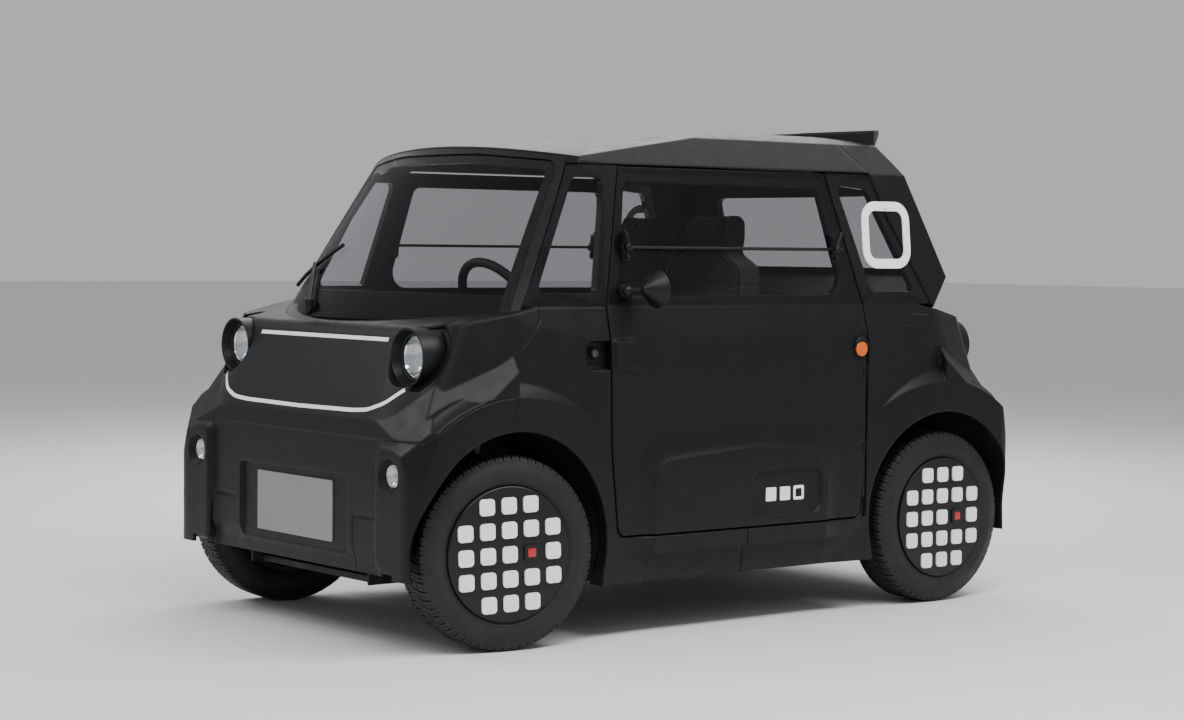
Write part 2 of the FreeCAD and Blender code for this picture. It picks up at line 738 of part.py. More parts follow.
def mirror():
    """A round cone-backed mirror on a short jointed arm."""
    profile = Part.Wire([
        Part.makeLine(V(0, 0, 0), V(MIRROR_RADIUS - 3, 0, 0)),
        Part.Arc(V(MIRROR_RADIUS - 3, 0, 0), V(MIRROR_RADIUS, 5, 0), V(MIRROR_RADIUS - 3, 11, 0)).toShape(),
        Part.Arc(V(MIRROR_RADIUS - 3, 11, 0), V(MIRROR_RADIUS * 0.6, 36, 0), V(8, 62, 0)).toShape(),
        Part.makeLine(V(8, 62, 0), V(0, 62, 0)),
        Part.makeLine(V(0, 62, 0), V(0, 0, 0)),
    ])
    cone = Part.Face(profile).revolve(ORIGIN, AXIS_Y, 360)
    cone.rotate(ORIGIN, AXIS_Z, -90)
    cone.translate(V(MIRROR_X, MIRROR_Y, MIRROR_Z))
    root = V(456, glass_y(MIRROR_Z) + SEAT_CLEARANCE, MIRROR_Z - 6)
    elbow = V(MIRROR_X + 30, MIRROR_Y - 20, MIRROR_Z)
    parts = [
        cone,
        rod(tuple(root), (root.x, root.y + 16, root.z), 20),
        Part.makeSphere(15, root + V(0, 22, 0)),
        rod(tuple(root + V(0, 22, 0)), tuple(elbow), 7),
    ]
    return joined(parts).cut(greenhouse(-SEAT_CLEARANCE))


# Lamps and plates

LAMP_X, LAMP_Y, LAMP_Z = NOSE_X - 116.0, 479.0, 831.0
LAMP_RADIUS = 84.0
LAMP_LIP = 16.0
LAMP_LENS_RADIUS = 63.0
LAMP_LENGTH = 112.0
LAMP_RECESS = 20.0
SMALL_LAMP_Y, SMALL_LAMP_Z = 539.0, 504.0
SMALL_LAMP_RADIUS = 33.0
PLATE_X = NOSE_X - 25.0
PLATE_WIDTH = 419.0
PLATE_HEIGHT = 178.0
PLATE_Z = 376.0
PLATE_THICKNESS = 4.0


def lamp_seats():
    """The round spaces that the main lamps fill in the fascia's upper corners."""
    back = LAMP_X - LAMP_LENGTH
    return both_sides(rod((back, LAMP_Y, LAMP_Z), (LAMP_X + 200, LAMP_Y, LAMP_Z), LAMP_RADIUS))


def lamp_recesses():
    """The hollows between the lamps' tubes and the wings' edges."""
    ring = rod((LAMP_X - LAMP_LENGTH, LAMP_Y, LAMP_Z), (LAMP_X + 200, LAMP_Y, LAMP_Z), LAMP_RADIUS + 32)
    outside = box((0, LAMP_Y + 30, LAMP_Z - 95), (FAR, FAR, FAR))
    return both_sides(ring.common(outside).cut(upper_volume(LAMP_RECESS)))


def lamp_bezel():
    """A round lamp housing: a tapered tube, closed at its back, with a rolled lip."""
    back = LAMP_X - LAMP_LENGTH
    lip = LAMP_X + LAMP_LIP
    outer = rod((back, LAMP_Y, LAMP_Z), (lip, LAMP_Y, LAMP_Z), LAMP_RADIUS)
    depth = LAMP_LIP + 22
    cup = Part.makeCone(LAMP_LENS_RADIUS + 1, LAMP_RADIUS - 5, depth, V(LAMP_X - 22, LAMP_Y, LAMP_Z), AXIS_X)
    seat = rod((LAMP_X - 50, LAMP_Y, LAMP_Z), (lip, LAMP_Y, LAMP_Z), LAMP_LENS_RADIUS)
    return outer.cut(cup).cut(seat)


def lamp_lens():
    dome = Part.makeSphere(160, V(LAMP_X - 10 - 160, LAMP_Y, LAMP_Z))
    full = rod((LAMP_X - 50, LAMP_Y, LAMP_Z), (LAMP_X, LAMP_Y, LAMP_Z), LAMP_LENS_RADIUS)
    return full.common(dome)


def small_lamp_seats():
    foot = V(NOSE_X - 16, SMALL_LAMP_Y, SMALL_LAMP_Z)
    bowl = Part.makeCone(SMALL_LAMP_RADIUS + 4, SMALL_LAMP_RADIUS + 18, 18, foot, AXIS_X)
    return both_sides(bowl.fuse(small_lamp_rod(NOSE_X - 10)))


def small_lamp_rod(front_x):
    return rod((NOSE_X - 40, SMALL_LAMP_Y, SMALL_LAMP_Z), (front_x, SMALL_LAMP_Y, SMALL_LAMP_Z), SMALL_LAMP_RADIUS)


def small_lamp():
    return small_lamp_rod(NOSE_X).common(Part.makeSphere(90, V(NOSE_X - 98, SMALL_LAMP_Y, SMALL_LAMP_Z)))


def number_plate():
    half = PLATE_WIDTH / 2
    low = PLATE_Z - PLATE_HEIGHT / 2
    corners = [(-half, low, 4), (half, low, 4), (half, low + PLATE_HEIGHT, 4), (-half, low + PLATE_HEIGHT, 4)]
    return front_prism(corners, PLATE_X - 4, PLATE_X - 4 + PLATE_THICKNESS)


# Glass, pillars and roof

WINDSCREEN_VIEW = ends([
    (598, 900, 0), (488, ROOF_EDGE_Z + 5, 50), (200, ROOF_EDGE_Z + 29, 900),
][::-1])
REAR_GLASS_VIEW = [(-500, 1058, 50), (500, 1058, 50), (440, 1352, 60), (-440, 1352, 60)]


def screen_space(view, grow, ahead):
    low, high = (0, FAR) if ahead else (-FAR, 0)
    return front_prism(view, low, high, grow)


def side_band(grow, top):
    """The space between belt and roof, from the front pillar to the roof seam."""
    slab = box((-FAR, -FAR, BELT_TOP_Z), (FAR, FAR, top))
    return slab.cut([ahead_of_pillar(grow), behind_roof_seam(grow)])


def quarter_windows():
    front = side_prism([(742, 1012, 16), (574, 1350, 20), (470, 1350, 20), (548, 1012, 16)])
    rear = side_prism([(-566, 1012, 16), (-466, 1350, 20), (-600, 1338, 20), (-764, 1012, 16)])
    return [front, rear]


def rebated(wall, pane, view, ahead):
    """A wall with an opening and a step round it that a bonded glass lies in."""
    step = pane.common(screen_space(view, 4, ahead))
    return wall.cut(step).cut(screen_space(view, -26, ahead))


def windscreen_frame(wall, pane, body):
    return rebated(wall.common(ahead_of_pillar()), pane, WINDSCREEN_VIEW, True).cut(body)


def rear_pillars(wall, pane, body):
    """The rear corner posts, tail and roof edge round the rear glass."""
    return rebated(wall.common(behind_roof_seam()), pane, REAR_GLASS_VIEW, False).cut(body)


def roof(wall):
    between = wall.cut([ahead_of_pillar(), behind_roof_seam()])
    return between.common(box((-FAR, -FAR, ROOF_EDGE_Z), (FAR, FAR, FAR)))


def fixed_glass(pane, doors, body):
    """Windscreen, rear glass and the four quarter panes."""
    front = pane.common(screen_space(WINDSCREEN_VIEW, 0, True)).common(ahead_of_pillar(-100)).cut(body)
    rear = pane.common(screen_space(REAR_GLASS_VIEW, 0, False)).common(behind_roof_seam(-100))
    quarters_left_right = pane.common(side_band(-SEAM, ROOF_EDGE_Z - SEAM)).cut(doors)
    return front.Solids + rear.Solids + quarters_left_right.Solids


def upper_parts(body):
    """Every fixed piece above the belt by node name, then the glass layer and the frame behind it."""
    house, inner = greenhouse(0), greenhouse(GLASS)
    wall, pane = house.cut(greenhouse(ROOF_WALL)), house.cut(inner)
    depth = greenhouse(SEAM_DEPTH)
    wall = wall.cut([grooves(ahead_of_pillar, depth), grooves(behind_roof_seam, depth)])
    frame = inner.cut(greenhouse(GLASS + FRAME_WALL))
    plug = door_plug(DOOR_GAP)
    doors = [plug, turned(plug)]
    frames = frame.common(side_band(0, ROOF_EDGE_Z)).cut(doors).cut(quarter_windows())
    parts = {
        "windscreen_frame": windscreen_frame(wall, pane, body),
        "rear_pillars": rear_pillars(wall, pane, body),
        "roof": roof(wall),
        "fixed_glass": fixed_glass(pane, doors, body),
        "window_frames": frames,
    }
    return parts, pane, frame


def spoiler():
    """The fin that carries the roof's line on over the rear glass."""
    top = ROOF_HEIGHT + 22
    side = side_prism([
        (-600, top - 19, 4), (-910, top, 5), (-904, top - 14, 3), (-786, top - 84, 6), (-600, top - 84, 0),
    ])
    plan = plan_prism([
        (-590, -250, 40), (-590, 250, 40), (-800, 402, 24), (-912, 316, 40), (-912, -316, 40), (-800, -402, 24),
    ])
    return side.common(plan).cut(greenhouse(0))


def screen_point(y, z, proud):
    """A point on the windscreen's surface, or proud of it."""
    radius = screen_radius(z)
    bow = radius - math.sqrt(radius ** 2 - y ** 2)
    x = SCREEN_FOOT_X - bow - SCREEN_SLOPE * (z - BELT_HEIGHT)
    return V(x + proud * 0.79, y, z + proud * 0.61)


def wiper():
    """Arm and blade lying just over the foot of the windscreen."""
    pivot = screen_point(-150, 962, 14)
    stops = [screen_point(-470 + 70 * i, 1012 + 32 * i, 9) for i in range(5)]
    blade = [rod(a, b, 6) for a, b in zip(stops, stops[1:])]
    arm = rod(pivot, stops[2] + V(5, 0, 4), 7)
    boss = rod(pivot - V(0, 0, 34), pivot + V(0, 0, 10), 14)
    return joined(blade + [arm, boss]).cut(greenhouse(-SEAT_CLEARANCE)).cut(lower_body())


# Inside

FLOOR_Z = 170.0
FLOOR_TOP_Z = 188.0
FLOOR_END_X = 1095.0
FIREWALL_X = 770.0
REAR_WALL_X = -770.0


def floor_tub():
    """Floor, wheel housings, front and rear bulkheads in one moulding."""
    core = upper_volume(WALL)
    floor = box((-FLOOR_END_X, -FAR, FLOOR_Z), (FLOOR_END_X, FAR, FLOOR_TOP_Z))
    front = box((FIREWALL_X, -FAR, FLOOR_Z), (FIREWALL_X + TUB_WALL, FAR, FAR))
    rear = box((REAR_WALL_X - TUB_WALL, -FAR, FLOOR_Z), (REAR_WALL_X, FAR, FAR))
    housings = arches(ARCH_RADIUS + TUB_WALL, HOUSING_INNER_Y - TUB_WALL)
    solid = floor.multiFuse([front, rear] + housings).common(core)
    solid = solid.cut(arches(ARCH_RADIUS, HOUSING_INNER_Y)).cut(box((-FAR, -FAR, 0), (FAR, FAR, FLOOR_Z)))
    shafts = [rod((WHEEL_X, y, WHEEL_Z), (WHEEL_X, y + 60, WHEEL_Z), 40) for y in (300, -360)]
    return solid.cut(shafts)


def dashboard():
    """The shelf and fascia across the cabin in front of the bulkhead."""
    side = side_prism([
        (FIREWALL_X, 790, 0), (FIREWALL_X, 1002, 0), (706, 1002, 40), (680, 930, 24), (690, 790, 20),
    ])
    posts = greenhouse(0).cut(greenhouse(ROOF_WALL + 1))
    return side.common(box((-FAR, -600, 0), (FAR, 600, FAR))).cut(posts)


STEERING_CENTRE = V(622, 270, 952)
STEERING_TILT = 30.0
STEERING_RADIUS = 168.0


def along_column(distance):
    """A point on the steering column's axis, measured down from the wheel's centre."""
    angle = math.radians(STEERING_TILT)
    return STEERING_CENTRE + V(math.cos(angle), 0, -math.sin(angle)) * distance


def steering_wheel():
    rim = Part.makeTorus(STEERING_RADIUS, 14, ORIGIN, AXIS_X)
    hub = rod((-8, 0, 0), (34, 0, 0), 46)
    spokes = [rod((0, 0, 0), (0, STEERING_RADIUS * math.cos(a), STEERING_RADIUS * math.sin(a)), 11)
              for a in (0, math.pi, -math.pi / 2)]
    shape = joined([rim, hub] + spokes)
    shape.rotate(ORIGIN, AXIS_Y, STEERING_TILT)
    shape.translate(STEERING_CENTRE)
    return shape


def steering_column():
    column = rod(along_column(34 + SEAT_CLEARANCE), along_column(150), 26)
    return column.cut(dashboard())


SEAT_Y = 272.0
SEAT_WIDTH = 430.0


def seat_profile(back_x):
    """Side view of a seat: cushion, back and headrest, one sheet."""
    return [
        (back_x + 440, 400, 30), (back_x + 450, 470, 30), (back_x + 40, 440, 60),
        (back_x - 60, 1010, 200), (back_x - 80, 1270, 30), (back_x - 165, 1270, 30),
        (back_x - 160, 1010, 200), (back_x - 70, 390, 60),
    ]


def seat_pad(back_x, y):
    low, high = y - SEAT_WIDTH / 2, y + SEAT_WIDTH / 2
    return side_prism(seat_profile(back_x), low, high)


def seat_pedestal(back_x, y, foot_z):
    low, high = y - SEAT_WIDTH / 2 + 30, y + SEAT_WIDTH / 2 - 30
    block = box((back_x - 40, low, foot_z), (back_x + 400, high, 430))
    pad = seat_pad(back_x, y)
    return block.cut([pad, pad.translated(V(0, 0, -SEAT_CLEARANCE))])


DRIVER_BACK_X = -95.0
PASSENGER_BACK_X = -265.0
BATTERY_TOP_Z = 300.0


def seat_pedestals():
    """The driver's stands on the floor and the passenger's on the battery."""
    driver = seat_pedestal(DRIVER_BACK_X, SEAT_Y, FLOOR_TOP_Z)
    passenger = seat_pedestal(PASSENGER_BACK_X, -SEAT_Y, BATTERY_TOP_Z)
    return [driver, passenger]


# Running gear

def steering_axis_point(z):
    share = (z - KINGPIN_LOW_Z) / (KINGPIN_TOP_Z - KINGPIN_LOW_Z)
    return V(WHEEL_X, KINGPIN_LOW_Y + share * (KINGPIN_TOP_Y - KINGPIN_LOW_Y), z)


def steered(shape, side):
    """The shape turned to its rest angle about the steering axis of a side, 1 left or -1 right."""
    low, top = steering_axis_point(KINGPIN_LOW_Z), steering_axis_point(KINGPIN_TOP_Z)
    axis = V(0, (top.y - low.y) * side, top.z - low.z)
    copy = shape.copy()
    copy.rotate(V(low.x, low.y * side, low.z), axis, STEER_AT_REST)
    return copy


def spun(points):
    """A solid turned about the Y axis from (radius, y, corner radius) points."""
    wire = outline([(r, y, c) for r, y, c in points], lambda u, v: V(u, v, 0))
    return Part.Face(wire).revolve(ORIGIN, AXIS_Y, 360)


def tyre():
    inner, outer = TYRE_CENTRE_Y - TYRE_WIDTH / 2, TYRE_CENTRE_Y + TYRE_WIDTH / 2
    bead, tread, rim = 62.0, 60.0, RIM_DIAMETER / 2
    return spun([
        (rim, TYRE_CENTRE_Y - bead, 0), (rim + 30, inner, 30), (TYRE_DIAMETER / 2 - 34, inner, 26),
        (TYRE_DIAMETER / 2, TYRE_CENTRE_Y - tread, 16), (TYRE_DIAMETER / 2, TYRE_CENTRE_Y + tread, 16),
        (TYRE_DIAMETER / 2 - 34, outer, 26), (rim + 30, outer, 30), (rim, TYRE_CENTRE_Y + bead, 0),
    ])


HUB_FACE_Y = 604.0
AXLE_RADIUS = 15.0


def rim():
    """Pressed steel rim with its hub bore."""
    edge = RIM_DIAMETER / 2
    low, high = TYRE_CENTRE_Y - 62, TYRE_CENTRE_Y + 62
    return spun([
        (AXLE_RADIUS + PIN_CLEARANCE, HUB_FACE_Y, 0), (60, HUB_FACE_Y, 3), (80, 626, 8), (150, 632, 10),
        (edge - 14, 615, 8), (edge - 14, low, 0), (edge, low, 0), (edge, high, 0), (edge - 14, high, 0),
        (edge - 14, 640, 4), (150, 640, 6), (78, 636, 8), (58, 650, 3), (AXLE_RADIUS + PIN_CLEARANCE, 650, 0),
    ])


CAP_PITCH = 69.3
CAP_SIZE = 47.0
CAP_HEIGHT = 5.0
CAP_CORNER = 11.0


def cap_places():
    """The square grid without its four corners."""
    steps = range(-2, 3)
    return [(i, k) for i in steps for k in steps if abs(i) + abs(k) < 4]


def wheel_cover():
    """A flat round cover with a grid of raised square pads."""
    face_y = WHEEL_OUTER_Y - CAP_HEIGHT
    radius = COVER_DIAMETER / 2
    edge = RIM_DIAMETER / 2
    disc = spun([
        (0, 650, 0), (edge - 26, 650, 4), (edge - 16, TYRE_CENTRE_Y + 62 + 2, 4),
        (radius - 8, 670, 4), (radius, face_y - 4, 2), (radius - 6, face_y, 2), (0, face_y, 0),
    ])
    half = CAP_SIZE / 2
    pads = []
    for i, k in cap_places():
        u, v = i * CAP_PITCH, k * CAP_PITCH
        corners = [(u + a * half, v + b * half, CAP_CORNER) for a, b in ((-1, -1), (1, -1), (1, 1), (-1, 1))]
        pads.append(side_prism(corners, face_y - 2, WHEEL_OUTER_Y))
    return disc.multiFuse(pads)


def placed_wheels(shape):
    """A wheel piece at the four corners: front left, front right, rear left, rear right."""
    left = shape.translated(V(WHEEL_X, 0, WHEEL_Z))
    right = mirrored_y(left)
    back = V(-WHEELBASE, 0, 0)
    return {
        "front_left": steered(left, 1), "front_right": steered(right, -1),
        "rear_left": left.translated(back), "rear_right": right.translated(back),
    }


def knuckle():
    """Left stub axle, carrier and strut on the steering axis."""
    low, top = steering_axis_point(KINGPIN_LOW_Z), steering_axis_point(KINGPIN_TOP_Z)
    axle = rod((WHEEL_X, 540, WHEEL_Z), (WHEEL_X, 648, WHEEL_Z), AXLE_RADIUS)
    carrier = rod((WHEEL_X, 540, WHEEL_Z), (WHEEL_X, HUB_FACE_Y - SEAT_CLEARANCE, WHEEL_Z), 46)
    post = rod(tuple(steering_axis_point(KINGPIN_LOW_Z + 19)), tuple(steering_axis_point(WHEEL_Z)), 16)
    ball = rod(tuple(low), tuple(steering_axis_point(KINGPIN_LOW_Z + 25)), 8)
    bracket = box((WHEEL_X - 20, 478, WHEEL_Z + 44), (WHEEL_X + 20, 560, WHEEL_Z + 66))
    seat = steering_axis_point(KINGPIN_TOP_Z - 24)
    strut = rod((WHEEL_X, 486, WHEEL_Z + 50), tuple(seat), 19)
    spring = Part.makeCylinder(34, 24, seat, top - low)
    return joined([axle, carrier, post, ball, bracket, strut, spring])


def front_suspension():
    """Lower arm and top mount of each front wheel."""
    low = steering_axis_point(KINGPIN_LOW_Z)
    axis = steering_axis_point(KINGPIN_TOP_Z) - low
    eye = Part.makeCylinder(24, 20, low - V(*axis).normalize() * 8, axis)
    legs = [rod((WHEEL_X + dx, HOUSING_INNER_Y, 196), (WHEEL_X, low.y - 8, low.z + 2), 11) for dx in (-70, 70)]
    arm = joined([eye] + legs).common(arches(ARCH_RADIUS, HOUSING_INNER_Y)[0])
    pin = Part.makeCylinder(8 + PIN_CLEARANCE, 60, low - V(*axis).normalize() * 20, axis)
    top = steering_axis_point(KINGPIN_TOP_Z)
    mount = Part.makeCylinder(36, 30, top + V(*axis).normalize() * SEAT_CLEARANCE, axis)
    mount = mount.common(arches(ARCH_RADIUS, HOUSING_INNER_Y)[0])
    return both_sides(arm.cut(pin)) + both_sides(mount)


def drive_shaft():
    """Half shaft with its boot, from the motor to just inside the hub carrier."""
    shaft = rod((WHEEL_X, MOTOR_HALF_WIDTH, WHEEL_Z), (WHEEL_X, 498, WHEEL_Z), 12)
    boot = Part.makeCone(20, 30, 44, V(WHEEL_X, 452, WHEEL_Z), AXIS_Y)
    return shaft.fuse(boot)


MOTOR_HALF_WIDTH = 150.0


def drive_motor():
    low = (WHEEL_X - 80, -MOTOR_HALF_WIDTH, FLOOR_TOP_Z)
    return box(low, (WHEEL_X + 110, MOTOR_HALF_WIDTH, 440))


def rear_suspension():
    """Left trailing arm with stub axle and damper."""
    back_x = -WHEEL_X
    pivot = rod((back_x + 290, HOUSING_INNER_Y, 232), (back_x + 290, 452, 232), 24)
    arm = rod((back_x + 290, 440, 232), (back_x, 470, WHEEL_Z), 22)
    carrier = rod((back_x, 448, WHEEL_Z), (back_x, HUB_FACE_Y - SEAT_CLEARANCE, WHEEL_Z), 40)
    axle = rod((back_x, 540, WHEEL_Z), (back_x, 648, WHEEL_Z), AXLE_RADIUS)
    damper = rod((back_x, 458, WHEEL_Z + 10), (back_x, 458, ARCH_CENTRE_Z + ARCH_RADIUS + 4), 24)
    solid = joined([pivot, arm, carrier, axle, damper])
    return solid.common(arches(ARCH_RADIUS, HOUSING_INNER_Y)[2])


def battery():
    return box((-320, -540, FLOOR_TOP_Z), (150, -40, BATTERY_TOP_Z))


def save(node, shape):
    solids = pieces(Part.makeCompound(shape) if isinstance(shape, list) else shape)
    whole = solids[0] if len(solids) == 1 else Part.makeCompound(solids)
    whole.exportStep(f"parts/{node}.step")
    print(node, len(solids), "solids", round(whole.Volume / 1e6, 2), "litres", whole.isValid())


def main():
    os.makedirs("parts", exist_ok=True)
    body = lower_body()
    shell = lower_shell(body)
    panel, bumper = front_panels(shell)
    save("front_panel", panel)
    save("front_bumper", bumper)
    save("rear_panel", turned(panel))
    save("rear_bumper", turned(bumper))
    front, rear = side_wall(shell)
    save("side_panels_front", [front, turned(rear)])
    save("side_panels_rear", [rear, turned(front)])
    parts, pane, frame = upper_parts(body)
    for name, shape in parts.items():
        save(name, shape)
    save("spoiler", spoiler())
    save("wiper", wiper())
    left_door, left_glass, left_lamp = door_panel(shell, frame), door_glass(pane), side_lamp()
    bar, left_mirror = flap_bar(), mirror()
    for side, place in (("left", lambda s: s), ("right", turned)):
        save(f"door_{side}_panel", place(left_door))
        save(f"door_{side}_glass", place(left_glass))
        save(f"door_{side}_lamp", place(left_lamp))
    save("door_left_fittings", [bar, left_mirror])
    save("door_right_fittings", [turned(bar), mirrored_y(left_mirror)])
    bezels, lenses, small = both_sides(lamp_bezel()), both_sides(lamp_lens()), both_sides(small_lamp())
    save("lamp_bezels", bezels + [turned(s) for s in bezels])
    save("head_lamp_lenses", lenses)
    save("tail_lamp_lenses", [turned(s) for s in lenses])
    save("bumper_lamps", small + [turned(s) for s in small])
    save("number_plates", [number_plate(), turned(number_plate())])
    save("floor_tub", floor_tub())
    save("dashboard", dashboard())
    save("steering_column", steering_column())
    save("steering_wheel", steering_wheel())
    save("seat_pads", [seat_pad(DRIVER_BACK_X, SEAT_Y), seat_pad(PASSENGER_BACK_X, -SEAT_Y)])
    save("seat_pedestals", seat_pedestals())
    save("battery", battery())
    save("drive_motor", drive_motor())
    save("drive_shafts", both_sides(drive_shaft()))
    save("front_suspension", front_suspension())
    save("rear_suspension", both_sides(rear_suspension()))
    save("knuckle_left", steered(knuckle(), 1))
    save("knuckle_right", steered(mirrored_y(knuckle()), -1))
    for place, shape in placed_wheels(tyre()).items():
        save(f"tyre_{place}", shape)
    for place, shape in placed_wheels(Part.makeCompound([rim(), wheel_cover()])).items():
        save(f"wheel_{place}", shape)


main()
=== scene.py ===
import json
import math

import bmesh
import bpy
import numpy as np
from mathutils import Matrix, Vector
from mathutils.bvhtree import BVHTree


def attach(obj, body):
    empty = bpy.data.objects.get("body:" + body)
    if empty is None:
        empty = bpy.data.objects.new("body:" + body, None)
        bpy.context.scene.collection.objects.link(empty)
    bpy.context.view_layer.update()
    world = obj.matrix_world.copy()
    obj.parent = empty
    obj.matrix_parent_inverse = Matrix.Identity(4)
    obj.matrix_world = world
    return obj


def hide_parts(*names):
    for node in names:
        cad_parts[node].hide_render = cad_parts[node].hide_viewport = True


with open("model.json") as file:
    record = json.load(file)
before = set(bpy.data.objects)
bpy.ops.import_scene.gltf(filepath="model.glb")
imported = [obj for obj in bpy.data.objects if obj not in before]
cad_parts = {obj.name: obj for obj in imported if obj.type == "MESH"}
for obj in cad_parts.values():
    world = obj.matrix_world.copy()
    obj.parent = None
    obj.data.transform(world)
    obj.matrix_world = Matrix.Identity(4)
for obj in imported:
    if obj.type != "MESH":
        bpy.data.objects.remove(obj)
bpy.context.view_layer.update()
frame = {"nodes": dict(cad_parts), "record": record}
NODES = frame["nodes"]
SLOT_OF = {part["node"]: part["material_slot"] for part in frame["record"]["subparts"]}
SIDES = {"left": 1, "right": -1}
ENDS = {"front": 1, "rear": -1}

# Camera, at the photograph's viewing angle

CAMERA_AT = Vector((4.9366, 6.1675, 1.1437))
YAW, PITCH, ROLL = (math.radians(a) for a in (-128.325, -2.639, 0.560))
SENSOR_WIDTH = 36
PHOTO_WIDTH = 1184
FOCAL_IN_PIXELS = 2432.53


def add_camera():
    ahead = Vector((math.cos(PITCH) * math.cos(YAW), math.cos(PITCH) * math.sin(YAW), math.sin(PITCH)))
    right = ahead.cross(Vector((0, 0, 1))).normalized()
    up = right.cross(ahead)
    across = math.cos(ROLL) * right + math.sin(ROLL) * up
    upward = -math.sin(ROLL) * right + math.cos(ROLL) * up
    data = bpy.data.cameras.new("camera")
    data.sensor_width = SENSOR_WIDTH
    data.lens = FOCAL_IN_PIXELS / PHOTO_WIDTH * SENSOR_WIDTH
    data.clip_start, data.clip_end = 0.05, 100
    camera = bpy.data.objects.new("camera", data)
    turn = Matrix((across, upward, -ahead)).transposed().to_4x4()
    camera.matrix_world = Matrix.Translation(CAMERA_AT) @ turn
    bpy.context.scene.collection.objects.link(camera)
    bpy.context.scene.camera = camera


# Materials

DUST_COLOUR = (0.23, 0.21, 0.18, 1)
DUST_TOP, DUST_FULL = 0.55, 0.15
DUST_GRAIN = 28
CLOUD_EDGES = (0.32, 0.68)
ROUGHNESS_CLOUDS = 2.3
SMOOTHEST = 0.015


def noise_of(tree, place, scale, detail):
    noise = tree.nodes.new("ShaderNodeTexNoise")
    noise.inputs["Scale"].default_value = scale
    noise.inputs["Detail"].default_value = detail
    tree.links.new(place, noise.inputs["Vector"])
    return noise.outputs["Fac"]


def combined(tree, operation, first, second):
    node = tree.nodes.new("ShaderNodeMath")
    node.operation = operation
    tree.links.new(first, node.inputs[0])
    tree.links.new(second, node.inputs[1])
    return node.outputs["Value"]


def drifting(tree, place, colour, vary, cloud):
    """The colour, a little lighter and darker in clouds."""
    ramp = tree.nodes.new("ShaderNodeValToRGB")
    dark, light = ramp.color_ramp.elements
    dark.position, light.position = CLOUD_EDGES
    dark.color = [c * (1 - vary) for c in colour] + [1]
    light.color = [min(1.0, c * (1 + vary)) for c in colour] + [1]
    tree.links.new(noise_of(tree, place, cloud, detail=5.0), ramp.inputs["Fac"])
    return ramp.outputs["Color"]


def dusty(tree, place, tint, dust):
    """The tint with patches of road dust, more of them towards the ground."""
    split = tree.nodes.new("ShaderNodeSeparateXYZ")
    tree.links.new(place, split.inputs["Vector"])
    low = tree.nodes.new("ShaderNodeMapRange")
    low.inputs["From Min"].default_value = DUST_TOP
    low.inputs["From Max"].default_value = DUST_FULL
    low.inputs["To Min"].default_value = 0.0
    low.inputs["To Max"].default_value = dust
    tree.links.new(split.outputs["Z"], low.inputs["Value"])
    grains = noise_of(tree, place, DUST_GRAIN, detail=8.0)
    patches = combined(tree, "MULTIPLY", low.outputs["Result"], grains)
    mix = tree.nodes.new("ShaderNodeMix")
    mix.data_type = "RGBA"
    tree.links.new(patches, mix.inputs["Factor"])
    tree.links.new(tint, mix.inputs["A"])
    mix.inputs["B"].default_value = DUST_COLOUR
    return mix.outputs["Result"]


def woven(tree, place, weave, height):
    """The height with the threads of a weave on it."""
    waves = []
    for axis in ("X", "Z"):
        wave = tree.nodes.new("ShaderNodeTexWave")
        wave.bands_direction = axis
        wave.inputs["Scale"].default_value = weave
        tree.links.new(place, wave.inputs["Vector"])
        waves.append(wave.outputs["Fac"])
    return combined(tree, "ADD", combined(tree, "MAXIMUM", *waves), height)


def finish_of(name, colour, rough, metal=0.0, grain=900, bump=0.2, depth=0.0002, vary=0.12, cloud=9,
              uneven=0.25, coat=0.0, coat_rough=0.08, spec=0.5, ior=1.5, alpha=1.0, sheen=0.0, weave=0,
              dust=0.0, rounded=0.0):
    """Paint, plastic, glass, rubber or cloth, with a fine grain, cloudy roughness and a drifting tint."""
    made = bpy.data.materials.new(name)
    made.use_nodes = True
    tree = made.node_tree
    shader = tree.nodes["Principled BSDF"]
    place = tree.nodes.new("ShaderNodeTexCoord").outputs["Object"]

    tint = drifting(tree, place, colour, vary, cloud)
    if dust:
        tint = dusty(tree, place, tint, dust)
    tree.links.new(tint, shader.inputs["Base Color"])

    spread = tree.nodes.new("ShaderNodeMapRange")
    spread.inputs["To Min"].default_value = max(SMOOTHEST, rough * (1 - uneven))
    spread.inputs["To Max"].default_value = min(1.0, rough * (1 + uneven))
    tree.links.new(noise_of(tree, place, cloud * ROUGHNESS_CLOUDS, detail=4.0), spread.inputs["Value"])
    tree.links.new(spread.outputs["Result"], shader.inputs["Roughness"])

    height = noise_of(tree, place, grain, detail=2.0)
    if weave:
        height = woven(tree, place, weave, height)
    relief = tree.nodes.new("ShaderNodeBump")
    relief.inputs["Strength"].default_value = bump
    relief.inputs["Distance"].default_value = depth
    tree.links.new(height, relief.inputs["Height"])
    if rounded:
        edges = tree.nodes.new("ShaderNodeBevel")
        edges.samples = 6
        edges.inputs["Radius"].default_value = rounded
        tree.links.new(edges.outputs["Normal"], relief.inputs["Normal"])
    tree.links.new(relief.outputs["Normal"], shader.inputs["Normal"])

    shader.inputs["Metallic"].default_value = metal
    shader.inputs["Coat Weight"].default_value = coat
    shader.inputs["Coat Roughness"].default_value = coat_rough
    shader.inputs["IOR"].default_value = ior
    shader.inputs["Specular IOR Level"].default_value = spec
    shader.inputs["Alpha"].default_value = alpha
    shader.inputs["Sheen Weight"].default_value = sheen
    return made


